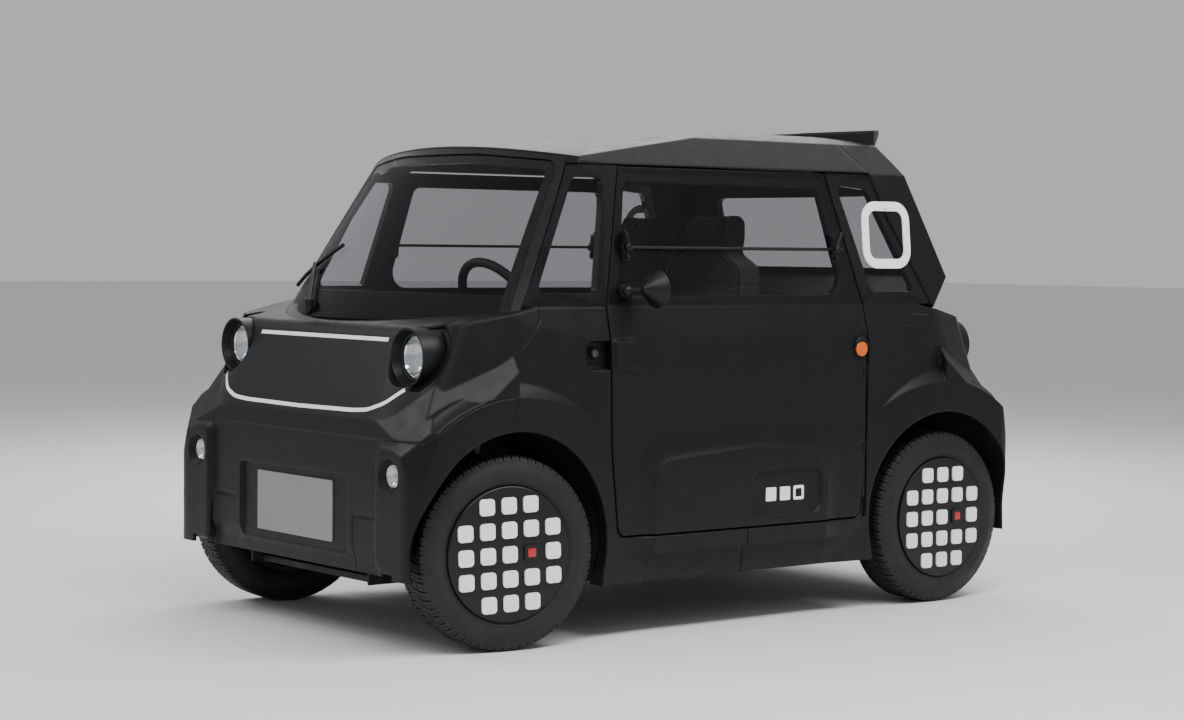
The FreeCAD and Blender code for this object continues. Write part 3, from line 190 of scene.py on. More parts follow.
CHARCOAL = (0.0062, 0.0063, 0.0068)
LOOKS = {
    "body": finish_of("body", CHARCOAL, 0.44, grain=1400, bump=0.1, spec=0.2, dust=0.06, rounded=0.012),
    "trim": finish_of("trim", (0.006, 0.006, 0.0065), 0.46, spec=0.3, grain=700, bump=0.3, depth=0.0003,
                      rounded=0.002),
    "gloss_trim": finish_of("gloss_trim", (0.005, 0.005, 0.006), 0.26, grain=1200, bump=0.05, spec=0.45),
    "glass": finish_of("glass", (0.004, 0.005, 0.005), 0.03, grain=60, bump=0.0, vary=0.03, uneven=0.4,
                       coat=0.2, coat_rough=0.02, alpha=0.2),
    "clear_lens": finish_of("clear_lens", (0.3, 0.32, 0.34), 0.05, grain=90, bump=0.03, vary=0.03, spec=1.0,
                            ior=1.8, coat=0.8, coat_rough=0.03, alpha=0.3),
    "amber_lens": finish_of("amber_lens", (0.72, 0.13, 0.006), 0.2, grain=160, bump=0.1, coat=0.6,
                            coat_rough=0.06),
    "red_lens": finish_of("red_lens", (0.32, 0.006, 0.008), 0.14, grain=160, bump=0.1, coat=0.7,
                          coat_rough=0.05),
    "plate": finish_of("plate", (0.24, 0.245, 0.25), 0.45, grain=1600, bump=0.1, vary=0.05, dust=0.05),
    "lining": finish_of("lining", (0.008, 0.008, 0.0085), 0.62, spec=0.3, grain=420, bump=0.5, depth=0.0005,
                        dust=0.1),
    "seat_cover": finish_of("seat_cover", (0.009, 0.009, 0.0095), 0.8, spec=0.3, grain=2400, bump=0.5,
                            depth=0.0005, weave=140, sheen=0.3),
    "steel": finish_of("steel", (0.12, 0.12, 0.125), 0.42, metal=1.0, grain=500, bump=0.3, vary=0.25,
                       dust=0.2),
    "housing": finish_of("housing", (0.22, 0.22, 0.23), 0.45, metal=1.0, grain=350, bump=0.5, depth=0.0006,
                         vary=0.2, dust=0.2),
    "tyre": finish_of("tyre", (0.008, 0.008, 0.0083), 0.6, spec=0.35, grain=650, bump=0.5, depth=0.0004,
                      vary=0.25, dust=0.07),
    "wheel": finish_of("wheel", (0.006, 0.006, 0.0065), 0.34, grain=900, bump=0.12, spec=0.3, dust=0.04),
}
WHITE = finish_of("white_film", (0.96, 0.96, 0.965), 0.34, grain=1500, bump=0.06, vary=0.03, spec=0.4)
RED = finish_of("red_plain", (0.45, 0.008, 0.014), 0.3, grain=1500, bump=0.06, vary=0.08, coat=0.4)
MIRROR = finish_of("mirror_glass", (0.82, 0.84, 0.86), 0.03, metal=1.0, grain=60, bump=0.01, vary=0.02)
SILVER = finish_of("reflector", (0.8, 0.81, 0.82), 0.09, metal=1.0, grain=140, bump=0.03, vary=0.05)
FACET = finish_of("facet_lens", (0.6, 0.63, 0.66), 0.04, grain=90, bump=0.03, vary=0.04, spec=1.0, ior=1.8,
                  coat=1.0, coat_rough=0.02, alpha=0.3)
# Dark rubber for the lamp rims; its strips on the rear wing also serve as painted shade in the vent slits.
RUBBER_AND_VENT_SHADE = finish_of("seal_rubber_and_vent_shade", (0.007, 0.007, 0.007), 0.55, grain=1100, bump=0.3, vary=0.2)
BULB = finish_of("bulb_glass", (0.35, 0.04, 0.02), 0.12, grain=300, bump=0.05, coat=0.8)

for node, obj in NODES.items():
    obj.data.materials.clear()
    obj.data.materials.append(LOOKS["trim" if node == "lamp_bezels" else SLOT_OF[node]])


# Mesh helpers

def piece(name, mesh_data, look, body, smooth=True, hard=35):
    """An object of its own from (verts, faces), carried by one of the part's bodies."""
    verts, faces = mesh_data
    mesh = bpy.data.meshes.new(name)
    mesh.from_pydata([tuple(v) for v in verts], [], [tuple(f) for f in faces])
    made = bmesh.new()
    made.from_mesh(mesh)
    bmesh.ops.remove_doubles(made, verts=made.verts, dist=1e-7)
    bmesh.ops.recalc_face_normals(made, faces=made.faces)
    made.to_mesh(mesh)
    made.free()
    obj = bpy.data.objects.new(name, mesh)
    bpy.context.scene.collection.objects.link(obj)
    mesh.materials.append(look)
    if smooth:
        mesh.shade_smooth()
        keep_hard_edges(mesh, hard)
    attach(obj, body)
    return obj


def keep_hard_edges(mesh, hard):
    """Edges sharper than hard degrees stay sharp."""
    made = bmesh.new()
    made.from_mesh(mesh)
    limit = math.radians(hard)
    for edge in made.edges:
        edge.smooth = len(edge.link_faces) == 2 and edge.calc_face_angle(0) < limit
    made.to_mesh(mesh)
    made.free()


def join_meshes(parts):
    """Several (verts, faces) as one."""
    verts, faces = [], []
    for more_verts, more_faces in parts:
        start = len(verts)
        verts += list(more_verts)
        faces += [[i + start for i in face] for face in more_faces]
    return verts, faces


def grid_faces(rows, columns, closed_rows=False, closed_columns=False):
    faces = []
    for i in range(rows if closed_rows else rows - 1):
        for j in range(columns if closed_columns else columns - 1):
            a, b = i * columns + j, i * columns + (j + 1) % columns
            c, d = (i + 1) % rows * columns + (j + 1) % columns, (i + 1) % rows * columns + j
            faces.append((a, b, c, d))
    return faces


def turned(profile, centre, axis, steps=48):
    """A closed profile of (radius, along) pairs, turned round an axis."""
    axis = Vector(axis).normalized()
    side = axis.orthogonal().normalized()
    other = axis.cross(side)
    verts = []
    for k in range(steps):
        a = math.tau * k / steps
        out = math.cos(a) * side + math.sin(a) * other
        verts += [Vector(centre) + out * r + axis * h for r, h in profile]
    return verts, grid_faces(steps, len(profile), True, True)


def tube(points, radius, steps=10):
    """A round rod through the points, closed at both ends."""
    points = [Vector(p) for p in points]
    last = len(points) - 1
    verts = []
    normal = None
    for k, point in enumerate(points):
        onward = (points[min(k + 1, last)] - points[max(k - 1, 0)]).normalized()
        normal = onward.orthogonal() if normal is None else normal
        normal = (normal - normal.dot(onward) * onward).normalized()
        other = onward.cross(normal)
        for j in range(steps):
            a = math.tau * j / steps
            verts.append(point + radius * (math.cos(a) * normal + math.sin(a) * other))
    ends = [tuple(range(steps)), tuple(range(last * steps, (last + 1) * steps))]
    return verts, grid_faces(last + 1, steps, False, True) + ends


SKINS = {}


def skin(*nodes):
    """What a ray finds of these nodes."""
    if nodes not in SKINS:
        meshes = [NODES[n].data for n in nodes]
        verts, faces = join_meshes([([v.co.copy() for v in mesh.vertices],
                                     [list(p.vertices) for p in mesh.polygons]) for mesh in meshes])
        SKINS[nodes] = BVHTree.FromPolygons(verts, faces)
    return SKINS[nodes]


FILM_PROUD = 0.0008
FILM_SUNK = 0.0006
FILM_STEP = 0.008


def laid(rows, toward, on, proud=FILM_PROUD, closed=False):
    """A thin film over a surface: rows are lines of points, which are dropped along toward onto the nodes."""
    tree, toward = skin(*on), Vector(toward).normalized()
    lines = []
    for row in rows:
        found = [tree.ray_cast(Vector(p), toward) for p in row]
        if all(f[0] is not None for f in found):
            lines.append([(f[0], f[1] if f[1].dot(toward) < 0 else -f[1]) for f in found])
        elif lines and not closed:
            break
    across = len(lines[0])
    top = [p + n * proud for line in lines for p, n in line]
    low = [p - n * FILM_SUNK for line in lines for p, n in line]
    count = len(top)
    faces = grid_faces(len(lines), across, closed)
    faces += [tuple(i + count for i in reversed(f)) for f in faces]
    last = len(lines) - 1
    for i in range(len(lines) if closed else last):
        k = (i + 1) % len(lines)
        for j in (0, across - 1):
            a, b = i * across + j, k * across + j
            faces.append((a, b, b + count, a + count) if j else (b, a, a + count, b + count))
    if not closed:
        for i in (0, last):
            for j in range(across - 1):
                a, b = i * across + j, i * across + j + 1
                faces.append((b, a, a + count, b + count) if i else (a, b, b + count, a + count))
    return top + low, faces


def along(corners, radius):
    """Evenly spaced points on a polyline with rounded corners: 2-D points and their directions."""
    points = [Vector(c) for c in corners]
    path = []
    for k, point in enumerate(points):
        if 0 < k < len(points) - 1:
            a, b = points[k - 1] - point, points[k + 1] - point
            a = a.normalized() * min(radius, a.length / 2)
            b = b.normalized() * min(radius, b.length / 2)
            path += [point + a * (1 - t) ** 2 + b * t ** 2 for t in np.linspace(0, 1, 9)]
        else:
            path.append(point)
    lengths = [0.0]
    for a, b in zip(path, path[1:]):
        lengths.append(lengths[-1] + (b - a).length)
    spots = np.linspace(0, lengths[-1], max(2, int(lengths[-1] / FILM_STEP) + 1))
    found = []
    for s in spots:
        k = min(max(1, int(np.searchsorted(lengths, s))), len(path) - 1)
        share = (s - lengths[k - 1]) / max(1e-9, lengths[k] - lengths[k - 1])
        found.append((path[k - 1].lerp(path[k], share), (path[k] - path[k - 1]).normalized()))
    return found


QUARTERS = ((1, 1), (-1, 1), (-1, -1), (1, -1))
CORNER_STEPS = 8
SIDE_STEPS = 4


def rounded_square(centre, half, corner):
    """Closed outline of a square with round corners, as 2-D points with the outward direction."""
    middles = [Vector(centre) + Vector(quarter) * (half - corner) for quarter in QUARTERS]
    outline = []
    for q, middle in enumerate(middles):
        for k in range(CORNER_STEPS + 1):
            a = math.pi / 2 * (q + k / CORNER_STEPS)
            way = Vector((math.cos(a), math.sin(a)))
            outline.append((middle + way * corner, way))
        following = middles[(q + 1) % 4]
        for k in range(1, SIDE_STEPS):
            outline.append((middle.lerp(following, k / SIDE_STEPS) + way * corner, way))
    return outline


# Film marks on the shell

BEYOND_END, BEYOND_SIDE = 1.5, 0.95

STRIPE_WIDTH = 0.011
STRIPE_ROUNDING = 0.02
UPPER_STRIPE = ((-0.352, 0.876), (0.352, 0.876))
LOWER_STRIPE_HALF = ((0.497, 0.741), (0.440, 0.700), (0.372, 0.679), (0.300, 0.674))
LOWER_STRIPE_MIDDLE = (0.0, 0.671)

RING_CENTRE = (-0.657, 1.194)
RING_HALF, RING_ROUNDING, RING_WIDTH = 0.107, 0.060, 0.030
RING_LEAN = 0.1
RING_PROUD = 0.003

VENT_WIDTH = 0.005
VENT_SEAM = ((-0.736, 0.941), (-0.806, 0.937))
VENT_ROWS = (((-0.689, 0.903), (-0.813, 0.901)), ((-0.745, 0.794), (-0.857, 0.814)))
VENTS_IN_ROW, VENT_LENGTH, VENT_PITCHES = 8, 0.36, 7.4

TRAY_Z = 0.395
TRAY_SQUARES_X = (-0.102, -0.160)
TRAY_SQUARE_HALF, TRAY_SQUARE_ROUNDING = 0.021, 0.004
TRAY_OPEN_X = -0.217
TRAY_OPEN_HALF, TRAY_OPEN_ROUNDING, TRAY_OPEN_HOLE = 0.022, 0.006, 0.013
PATCH_MIDDLE = 0.02


def from_end(facing):
    """Takes 2-D points (y, z) to a plane beyond one end of the car."""
    return lambda p: Vector((BEYOND_END * facing, p.x, p.y))


def from_side(sign, turn=1):
    """Takes 2-D points (x, z) to a plane beyond one side of the car."""
    return lambda p: Vector((p.x * turn, BEYOND_SIDE * sign, p.y))


def tape(corners, width, place, toward, on):
    rows = []
    for point, way in along(corners, STRIPE_ROUNDING):
        side = Vector((-way.y, way.x))
        rows.append([place(point + side * width * s) for s in (-0.5, -0.17, 0.17, 0.5)])
    return laid(rows, toward, on)


def square_patch(centre, half, corner, place, toward, on, hole=0.0):
    """A square of film with round corners. It closes to a speck in its middle unless a hole is given."""
    centre = Vector(centre)
    inner = hole / half if hole else PATCH_MIDDLE
    rings = 4 if hole else 3
    rows = []
    for point, _ in rounded_square(centre, half, corner):
        reach = point - centre
        rows.append([place(centre + reach * s) for s in np.linspace(1.0, inner, rings)])
    return laid(rows, toward, on, closed=True)


def end_stripes(end, facing):
    on = (end + "_panel", end + "_bumper")
    place, toward = from_end(facing), (-facing, 0, 0)
    mirrored = tuple((-y, z) for y, z in LOWER_STRIPE_HALF[::-1])
    lower_stripe = LOWER_STRIPE_HALF + (LOWER_STRIPE_MIDDLE,) + mirrored
    strips = [tape(line, STRIPE_WIDTH, place, toward, on) for line in (UPPER_STRIPE, lower_stripe)]
    piece(end + "_stripes", join_meshes(strips), WHITE, "car")


def ring(side, sign):
    """The open, rounded square on the rear quarter, which leans with the pillar."""
    place = from_side(sign)
    rows = []
    for point, way in rounded_square(RING_CENTRE, RING_HALF, RING_ROUNDING):
        line = [point - way * w for w in np.linspace(0, RING_WIDTH, 7)]
        rows.append([place(Vector((q.x - RING_LEAN * (q.y - RING_CENTRE[1]), q.y))) for q in line])
    on = ("rear_pillars", "window_frames", "fixed_glass", "door_" + side + "_panel")
    film = laid(rows, (0, -sign, 0), on, proud=RING_PROUD, closed=True)
    piece("ring_" + side, film, WHITE, "car")


# Dark film strips on the rear wing: the rows of short strips are painted shade standing in for the vent
# slits, and the strip along the seam is the seam's dark joint.
def wing_seam_and_vent_shade(side, sign):
    place, toward = from_side(sign), (0, -sign, 0)
    on = ("rear_panel", "side_panels_rear", "rear_bumper")
    strips = [tape(VENT_SEAM, VENT_WIDTH, place, toward, on)]
    for start, end in VENT_ROWS:
        start, end = Vector(start), Vector(end)
        for k in range(VENTS_IN_ROW):
            a = start.lerp(end, k / VENT_PITCHES)
            b = start.lerp(end, (k + VENT_LENGTH) / VENT_PITCHES)
            strips.append(tape((a, b), VENT_WIDTH, place, toward, on))
    piece("wing_seam_and_vent_shade_" + side, join_meshes(strips), RUBBER_AND_VENT_SHADE, "car")


def tray_marks(side, sign):
    """Two full squares and an open one in the door's tray. The right door has them at the opposite x."""
    place, toward, on = from_side(sign, sign), (0, -sign, 0), ("door_" + side + "_panel",)
    patches = [square_patch((x, TRAY_Z), TRAY_SQUARE_HALF, TRAY_SQUARE_ROUNDING, place, toward, on)
               for x in TRAY_SQUARES_X]
    patches.append(square_patch((TRAY_OPEN_X, TRAY_Z), TRAY_OPEN_HALF, TRAY_OPEN_ROUNDING, place, toward, on,
                                hole=TRAY_OPEN_HOLE))
    piece("tray_marks_" + side, join_meshes(patches), WHITE, side + "_door")


def marks():
    for end, facing in ENDS.items():
        end_stripes(end, facing)
    for side, sign in SIDES.items():
        ring(side, sign)
        wing_seam_and_vent_shade(side, sign)
        tray_marks(side, sign)


# Wheels

WHEEL_X, WHEEL_Y, AXLE_Z = 0.864, 0.5975, 0.2785
KINGPIN_Y, KINGPIN_Z = 0.572, 0.158
KINGPIN_AXIS = (0, -0.2192, 0.9757)
STEER = math.radians(-8.8)
PAD_PITCH = 0.0693
PAD_FACE_Y = 0.6765
RED_PAD = (-1, 0)
TILE_HALF, TILE_ROUNDING = 0.0125, 0.004
TILE_FOOT, TILE_EDGE, TILE_ROUND, TILE_TOP = 0.6809, 0.6818, 0.6822, 0.6823

# A tyre's half section from the rim's middle out, as (kind, radius, distance from the tyre's middle).
# The kind is s for shoulder blocks, g for a groove, m for a middle rib and c for the centre rib.
# It is empty off the tread.

RIM_SEAT = (("", 0.185, 0.0), ("", 0.185, 0.030), ("", 0.183, 0.050))
SIDEWALL = (("", 0.182, 0.0620), ("", 0.188, 0.0655), ("", 0.196, 0.0715), ("", 0.203, 0.0745),
            ("", 0.2035, 0.0757), ("", 0.206, 0.0757), ("", 0.2065, 0.0748), ("", 0.212, 0.0763),
            ("", 0.222, 0.0772), ("", 0.229, 0.0775), ("", 0.2295, 0.0770), ("", 0.233, 0.0770),
            ("", 0.2335, 0.0768), ("", 0.240, 0.0756), ("", 0.247, 0.0728), ("", 0.254, 0.0700),
            ("", 0.259, 0.0683))
TREAD = (("s", 0.2655, 0.0660), ("s", 0.2725, 0.0628), ("s", 0.2768, 0.0560), ("s", 0.2781, 0.0450),
         ("s", 0.2782, 0.0345), ("g", 0.2735, 0.0335), ("g", 0.2735, 0.0285), ("m", 0.2783, 0.0275),
         ("m", 0.2785, 0.0200), ("m", 0.2785, 0.0120), ("g", 0.2735, 0.0110), ("g", 0.2735, 0.0070),
         ("c", 0.2785, 0.0060), ("c", 0.2785, 0.0))

# One pitch of the tread has block, a narrow cut, block and a wide cut, as (share of the pitch, cut).

TREAD_PITCHES = 64
BLOCK, NARROW, WIDE = 0, 1, 2
PITCH_ROWS = ((0.0, BLOCK), (0.02, BLOCK), (0.40, BLOCK), (0.42, NARROW), (0.46, NARROW), (0.48, BLOCK),
              (0.80, BLOCK), (0.83, WIDE), (0.97, WIDE))
CUT_DEPTH = {("s", NARROW): 0.0022, ("s", WIDE): 0.0052, ("m", WIDE): 0.0032, ("c", NARROW): 0.0012}
SLANT, SLANT_OVER = 0.35, 0.06


def unsteer(axle, sign):
    """Turns a point of a wheel as it stands back to straight ahead."""
    if axle == "rear":
        return Matrix.Identity(4)
    at = Vector((WHEEL_X, KINGPIN_Y * sign, KINGPIN_Z))
    axis = Vector((0, KINGPIN_AXIS[1] * sign, KINGPIN_AXIS[2]))
    return Matrix.Translation(at) @ Matrix.Rotation(-STEER, 4, axis) @ Matrix.Translation(-at)


def wheels():
    for axle, facing in ENDS.items():
        x = WHEEL_X * facing
        for side, sign in SIDES.items():
            name = axle + "_" + side
            back = unsteer(axle, sign)
            white_pads(NODES["wheel_" + name].data, x, sign, back)
            stand = back.inverted()
            red_tile(name, x, sign, stand)
            tyre(name, x, sign, stand)


def white_pads(mesh, x, sign, back):
    """The cover's raised pads are white, apart from the one under the red tile."""
    mesh.materials.append(WHITE)
    for polygon in mesh.polygons:
        spot = back @ polygon.center
        if spot.y * sign > PAD_FACE_Y:
            pad = (round((spot.x - x) / PAD_PITCH), round((spot.z - AXLE_Z) / PAD_PITCH))
            polygon.material_index = 0 if pad == RED_PAD else 1


def red_tile(name, x, sign, stand):
    """The small plain red square on one of the pads."""
    centre = Vector((x + RED_PAD[0] * PAD_PITCH, AXLE_Z))
    rows = []
    for point, _ in rounded_square(centre, TILE_HALF, TILE_ROUNDING):
        reach = point - centre
        rows.append([(point, TILE_FOOT), (point, TILE_EDGE), (point - reach * 0.1, TILE_ROUND),
                     (point - reach * 0.6, TILE_TOP), (point - reach, TILE_TOP)])
    verts = [stand @ Vector((p.x, sign * y, p.y)) for row in rows for p, y in row]
    piece("red_tile_" + name, (verts, grid_faces(len(rows), 5, True)), RED, name + "_wheel")


def shifted(kind, h):
    """How far round the wheel a point of the section stands, in pitches of the tread."""
    if not kind:
        return 0.0
    slant = SLANT * abs(h) / SLANT_OVER if kind in ("s", "m") else 0.0
    return slant if h > 0 else 0.5 + slant


def tyre(name, x, sign, stand):
    """A tyre of shoulder blocks and ribs, with ridged sides."""
    half = RIM_SEAT + SIDEWALL + TREAD
    section = half + tuple((kind, r, -h) for kind, r, h in half[-2:0:-1])
    verts = []
    for pitch in range(TREAD_PITCHES):
        for share, cut in PITCH_ROWS:
            for kind, r, h in section:
                a = math.tau * (pitch + share + shifted(kind, h)) / TREAD_PITCHES
                r -= CUT_DEPTH.get((kind, cut), 0.0)
                at = Vector((x + r * math.sin(a), sign * WHEEL_Y + h, AXLE_Z + r * math.cos(a)))
                verts.append(stand @ at)
    faces = grid_faces(TREAD_PITCHES * len(PITCH_ROWS), len(section), True, True)
    node = "tyre_" + name
    obj = piece(node + "_dressed", (verts, faces), LOOKS["tyre"], name + "_wheel", hard=30)
    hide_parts(node)


# Lamps and mirrors

LAMP_X, LAMP_Y, LAMP_Z = 1.0702, 0.479, 0.831
LAMP_BOWL = ((0.0600, 0.003), (0.0545, -0.006), (0.044, -0.017), (0.030, -0.025), (0.0165, -0.0285),
             (0.0155, -0.0285), (0.013, -0.020), (0.010, -0.0145), (0.0, -0.0140), (0.0, -0.0300),
             (0.032, -0.0298), (0.047, -0.0185), (0.0620, 0.0010))
LAMP_RIM = ((0.0668, 0.003), (0.0668, 0.0095), (0.0655, 0.0110), (0.0630, 0.0105), (0.0616, 0.0060),
            (0.0640, 0.0030))

SMALL_LAMP_X, SMALL_LAMP_Y, SMALL_LAMP_Z = 1.1895, 0.539, 0.504
SMALL_BOWL = ((0.0320, -0.0010), (0.0290, -0.0045), (0.0220, -0.0110), (0.0120, -0.0150), (0.0, -0.0155),
              (0.0, -0.0175), (0.0240, -0.0130), (0.0328, -0.0030))
SMALL_BULB = ((0.0, -0.0020), (0.0040, -0.0030), (0.0062, -0.0060), (0.0062, -0.0150), (0.0, -0.0152))

MIRROR_X, MIRROR_Y, MIRROR_Z = 0.392, 0.728, 1.026
MIRROR_SEEN_FROM = 0.3
MIRROR_GAP = 0.0006
MIRROR_PROFILE = ((0.0, 0.0), (0.030, 0.0), (0.0475, 0.0), (0.0488, 0.0008), (0.0488, 0.0024),
                  (0.0, 0.0024))


def faceted(centre, facing, radius, dome, rings, petals, raised, thick):
    """A round lens whose cells each stand up a little in their middle."""
    verts, faces = [], []
    centre = Vector(centre)

    def at(share, angle, extra=0.0):
        return centre + Vector((facing * (dome * (1 - share ** 2) + extra), radius * share * math.cos(angle),
                                radius * share * math.sin(angle)))

    for number in range(rings):
        inner, outer = number / rings, (number + 1) / rings
        shift = 0.5 * (number % 2)
        for k in range(petals):
            a, b = (math.tau * (k + shift + e) / petals for e in (0, 1))
            corners = [at(inner, a), at(outer, a), at(outer, (a + b) / 2), at(outer, b), at(inner, b)]
            start = len(verts)
            verts += corners + [at((inner + outer) / 2, (a + b) / 2, raised)]
            faces += [(start + i, start + (i + 1) % 5, start + 5) for i in range(5)]
    start = len(verts)
    steps = petals * 2
    verts += [at(1.0, math.tau * k / steps) for k in range(steps)]
    verts += [at(1.0, math.tau * k / steps, -thick) for k in range(steps)]
    faces += [(start + k, start + (k + 1) % steps, start + steps + (k + 1) % steps, start + steps + k)
              for k in range(steps)]
    faces.append([start + steps + k for k in range(steps)][::-1])
    return verts, faces


def lamps():
    """Lenses, bowls and rims of the front and rear lamps."""
    for end, facing in ENDS.items():
        spots = [(facing * LAMP_X, y, LAMP_Z) for y in (LAMP_Y, -LAMP_Y)]
        lenses = [faceted(at, facing, radius=0.0622, dome=0.0068, rings=5, petals=16, raised=0.0014,
                          thick=0.0022) for at in spots]
        bowls = [turned(LAMP_BOWL, at, (facing, 0, 0)) for at in spots]
        rims = [turned(LAMP_RIM, at, (facing, 0, 0)) for at in spots]
        look, slot, node = FACET, "clear_lens", "head_lamp_lenses"
        if end == "rear":
            look, slot, node = LOOKS["red_lens"], "red_lens", "tail_lamp_lenses"
        lens = piece(end + "_lamp_lenses_dressed", join_meshes(lenses), look, "car", smooth=False)
        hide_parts(node)
        piece(end + "_lamp_bowls", join_meshes(bowls), SILVER, "car")
        piece(end + "_lamp_rims", join_meshes(rims), RUBBER_AND_VENT_SHADE, "car")


def small_lamps():
    """Lenses, bowls and bulbs of the four bumper lamps."""
    lenses, bowls, bulbs = [], [], []
    for facing in ENDS.values():
        for y in (SMALL_LAMP_Y, -SMALL_LAMP_Y):
            at = (facing * SMALL_LAMP_X, y, SMALL_LAMP_Z)
            lenses.append(faceted(at, facing, radius=0.0322, dome=0.0062, rings=3, petals=12, raised=0.0008,
                                  thick=0.0020))
            bowls.append(turned(SMALL_BOWL, at, (facing, 0, 0), 32))
            bulbs.append(turned(SMALL_BULB, at, (facing, 0, 0), 20))
    lens = piece("bumper_lamp_lenses", join_meshes(lenses), FACET, "car", smooth=False)
    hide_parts("bumper_lamps")
    piece("bumper_lamp_bowls", join_meshes(bowls), SILVER, "car")
    piece("bumper_lamp_bulbs", join_meshes(bulbs), BULB, "car")


def mirrors():
    """A glass on the rear face of each mirror's housing, found by a ray from behind it."""
    for side, sign in SIDES.items():
        behind = Vector((MIRROR_X, MIRROR_Y * sign, MIRROR_Z)) + Vector((-MIRROR_SEEN_FROM, 0, 0))
        back = skin("door_" + side + "_fittings").ray_cast(behind, Vector((1, 0, 0)))[0]
        at = (back.x - MIRROR_GAP, MIRROR_Y * sign, MIRROR_Z)
        piece("mirror_glass_" + side, turned(MIRROR_PROFILE, at, (-1, 0, 0)), MIRROR, side + "_door")


# Bumper corners

CORNER_INNER_Y, CORNER_OUTER_Y, CORNER_LAP = 0.3285, 0.4720, 0.010
WALL_OUTER_Y, WALL_Z = 0.462, 0.402
CORNER_LEVELS = [0.2140, 0.2142] + list(np.linspace(0.218, 0.392, 30))
CORNER_SUNK, CORNER_THICK = 0.0004, 0.008
CORNER_COLUMNS = 14
BULGE = 0.012


def bumper_corners():
    """The bumper's lower corners beside the plate, as a skin that carries on the wall above and beside it."""
    tree = skin("front_bumper", "rear_bumper")

    def wall(facing, y, z):
        hit = tree.ray_cast(Vector((BEYOND_END * facing, y, z)), Vector((-facing, 0, 0)))[0]
        return abs(hit.x) if hit else None

    for end, facing in ENDS.items():
        parts = []
        for sign in SIDES.values():
            found = [(wall(facing, sign * CORNER_INNER_Y, z), z) for z in CORNER_LEVELS]
            found = [(x, z) for x, z in found if x]
            above = wall(facing, sign * CORNER_INNER_Y, WALL_Z)
            verts = []
            for y in np.linspace(CORNER_INNER_Y - CORNER_LAP, CORNER_OUTER_Y, CORNER_COLUMNS):
                back = above - wall(facing, sign * min(y, WALL_OUTER_Y), WALL_Z)
                back = min(BULGE, max(-BULGE, back)) + CORNER_SUNK
                verts += [Vector((facing * (x - back), sign * y, z)) for x, z in found]
                verts += [Vector((facing * (x - back - CORNER_THICK), sign * y, z)) for x, z in found[::-1]]
            across = 2 * len(found)
            last = (CORNER_COLUMNS - 1) * across
            faces = grid_faces(CORNER_COLUMNS, across, False, True)
            faces += [tuple(range(across)), tuple(range(last, last + across))]
            parts.append((verts, faces))
        piece(end + "_bumper_corners", join_meshes(parts), LOOKS["body"], "car")


# Small fittings

OUTWARD = (0, 1, 0)
CATCHES_X, CATCH_Y = (-0.412, 0.434), 0.6335
UPPER_KNOB_Z, LOWER_KNOB_Z = 1.146, 1.118
UPPER_KNOB = ((0.0, 0.0), (0.010, 0.0), (0.0115, 0.002), (0.0115, 0.011), (0.009, 0.0135), (0.0, 0.014))
LOWER_KNOB = ((0.0, 0.0), (0.006, 0.0), (0.007, 0.001), (0.007, 0.007), (0.0055, 0.0085), (0.0, 0.009))
LEVER_LEAN, LEVER_RADIUS = 0.010, 0.0055

INDICATOR_X, INDICATOR_Y, INDICATOR_Z = -0.486, 0.6752, 0.834
SURROUND_INNER, SURROUND_LIP, SURROUND_OUTER = 0.0252, 0.0268, 0.0305
SURROUND_FOOT, SURROUND_RISE = -0.004, 0.003
HOOD_REACH, HOOD_RISE = 0.011, 0.0075
SURROUND_STEPS = 48

LOCK_AT = (0.572, 0.6593, 0.838)
LOCK_PROFILE = ((0.0, 0.0), (0.009, 0.0), (0.0105, 0.0008), (0.0105, 0.002), (0.0, 0.002))


def placed(mesh_data, turn):
    verts, faces = mesh_data
    return [turn @ Vector(v) for v in verts], faces


def window_catches(side, turn):
    """Knobs and levers of the clamps that hold the flap window."""
    parts = []
    for x in CATCHES_X:
        y = CATCH_Y
        lean = LEVER_LEAN if x > 0 else -LEVER_LEAN
        parts.append(turned(UPPER_KNOB, (x, y, UPPER_KNOB_Z), OUTWARD, 20))
        parts.append(turned(LOWER_KNOB, (x, y, LOWER_KNOB_Z), OUTWARD, 16))
        parts.append(tube([(x - lean, y + 0.004, 1.135), (x, y + 0.006, 1.158), (x + lean, y + 0.007, 1.182),
                           (x + lean * 1.8, y + 0.004, 1.199)], LEVER_RADIUS))
    piece("window_catches_" + side, placed(join_meshes(parts), turn), LOOKS["trim"], side + "_door")


def indicator_surround(side, turn):
    """A round lip about the side lamp, drawn out into a hood above it."""
    verts = []
    for k in range(SURROUND_STEPS):
        a = math.tau * k / SURROUND_STEPS
        up = max(0.0, math.sin(a))
        out = SURROUND_OUTER + HOOD_REACH * up ** 1.5
        rise = SURROUND_RISE + HOOD_RISE * up
        section = ((SURROUND_INNER, SURROUND_FOOT), (SURROUND_INNER, rise * 0.8), (SURROUND_LIP, rise),
                   ((SURROUND_LIP + out) / 2, rise * 0.92), (out - 0.002, rise * 0.3), (out, SURROUND_FOOT))
        verts += [(INDICATOR_X + r * math.cos(a), INDICATOR_Y + h, INDICATOR_Z + r * math.sin(a))
                  for r, h in section]
    surround = placed((verts, grid_faces(SURROUND_STEPS, 6, True, True)), turn)
    piece("indicator_surround_" + side, surround, LOOKS["body"], side + "_door")


def lock(side, turn):
    piece("lock_" + side, placed(turned(LOCK_PROFILE, LOCK_AT, OUTWARD, 24), turn), LOOKS["steel"], "car")


def small_fittings():
    """Fittings of the left side, and the same ones turned by half a turn for the right side."""
    for side in SIDES:
        turn = Matrix.Rotation(math.pi, 4, "Z") if side == "right" else Matrix.Identity(4)
        window_catches(side, turn)
        indicator_surround(side, turn)
        lock(side, turn)


# Seats

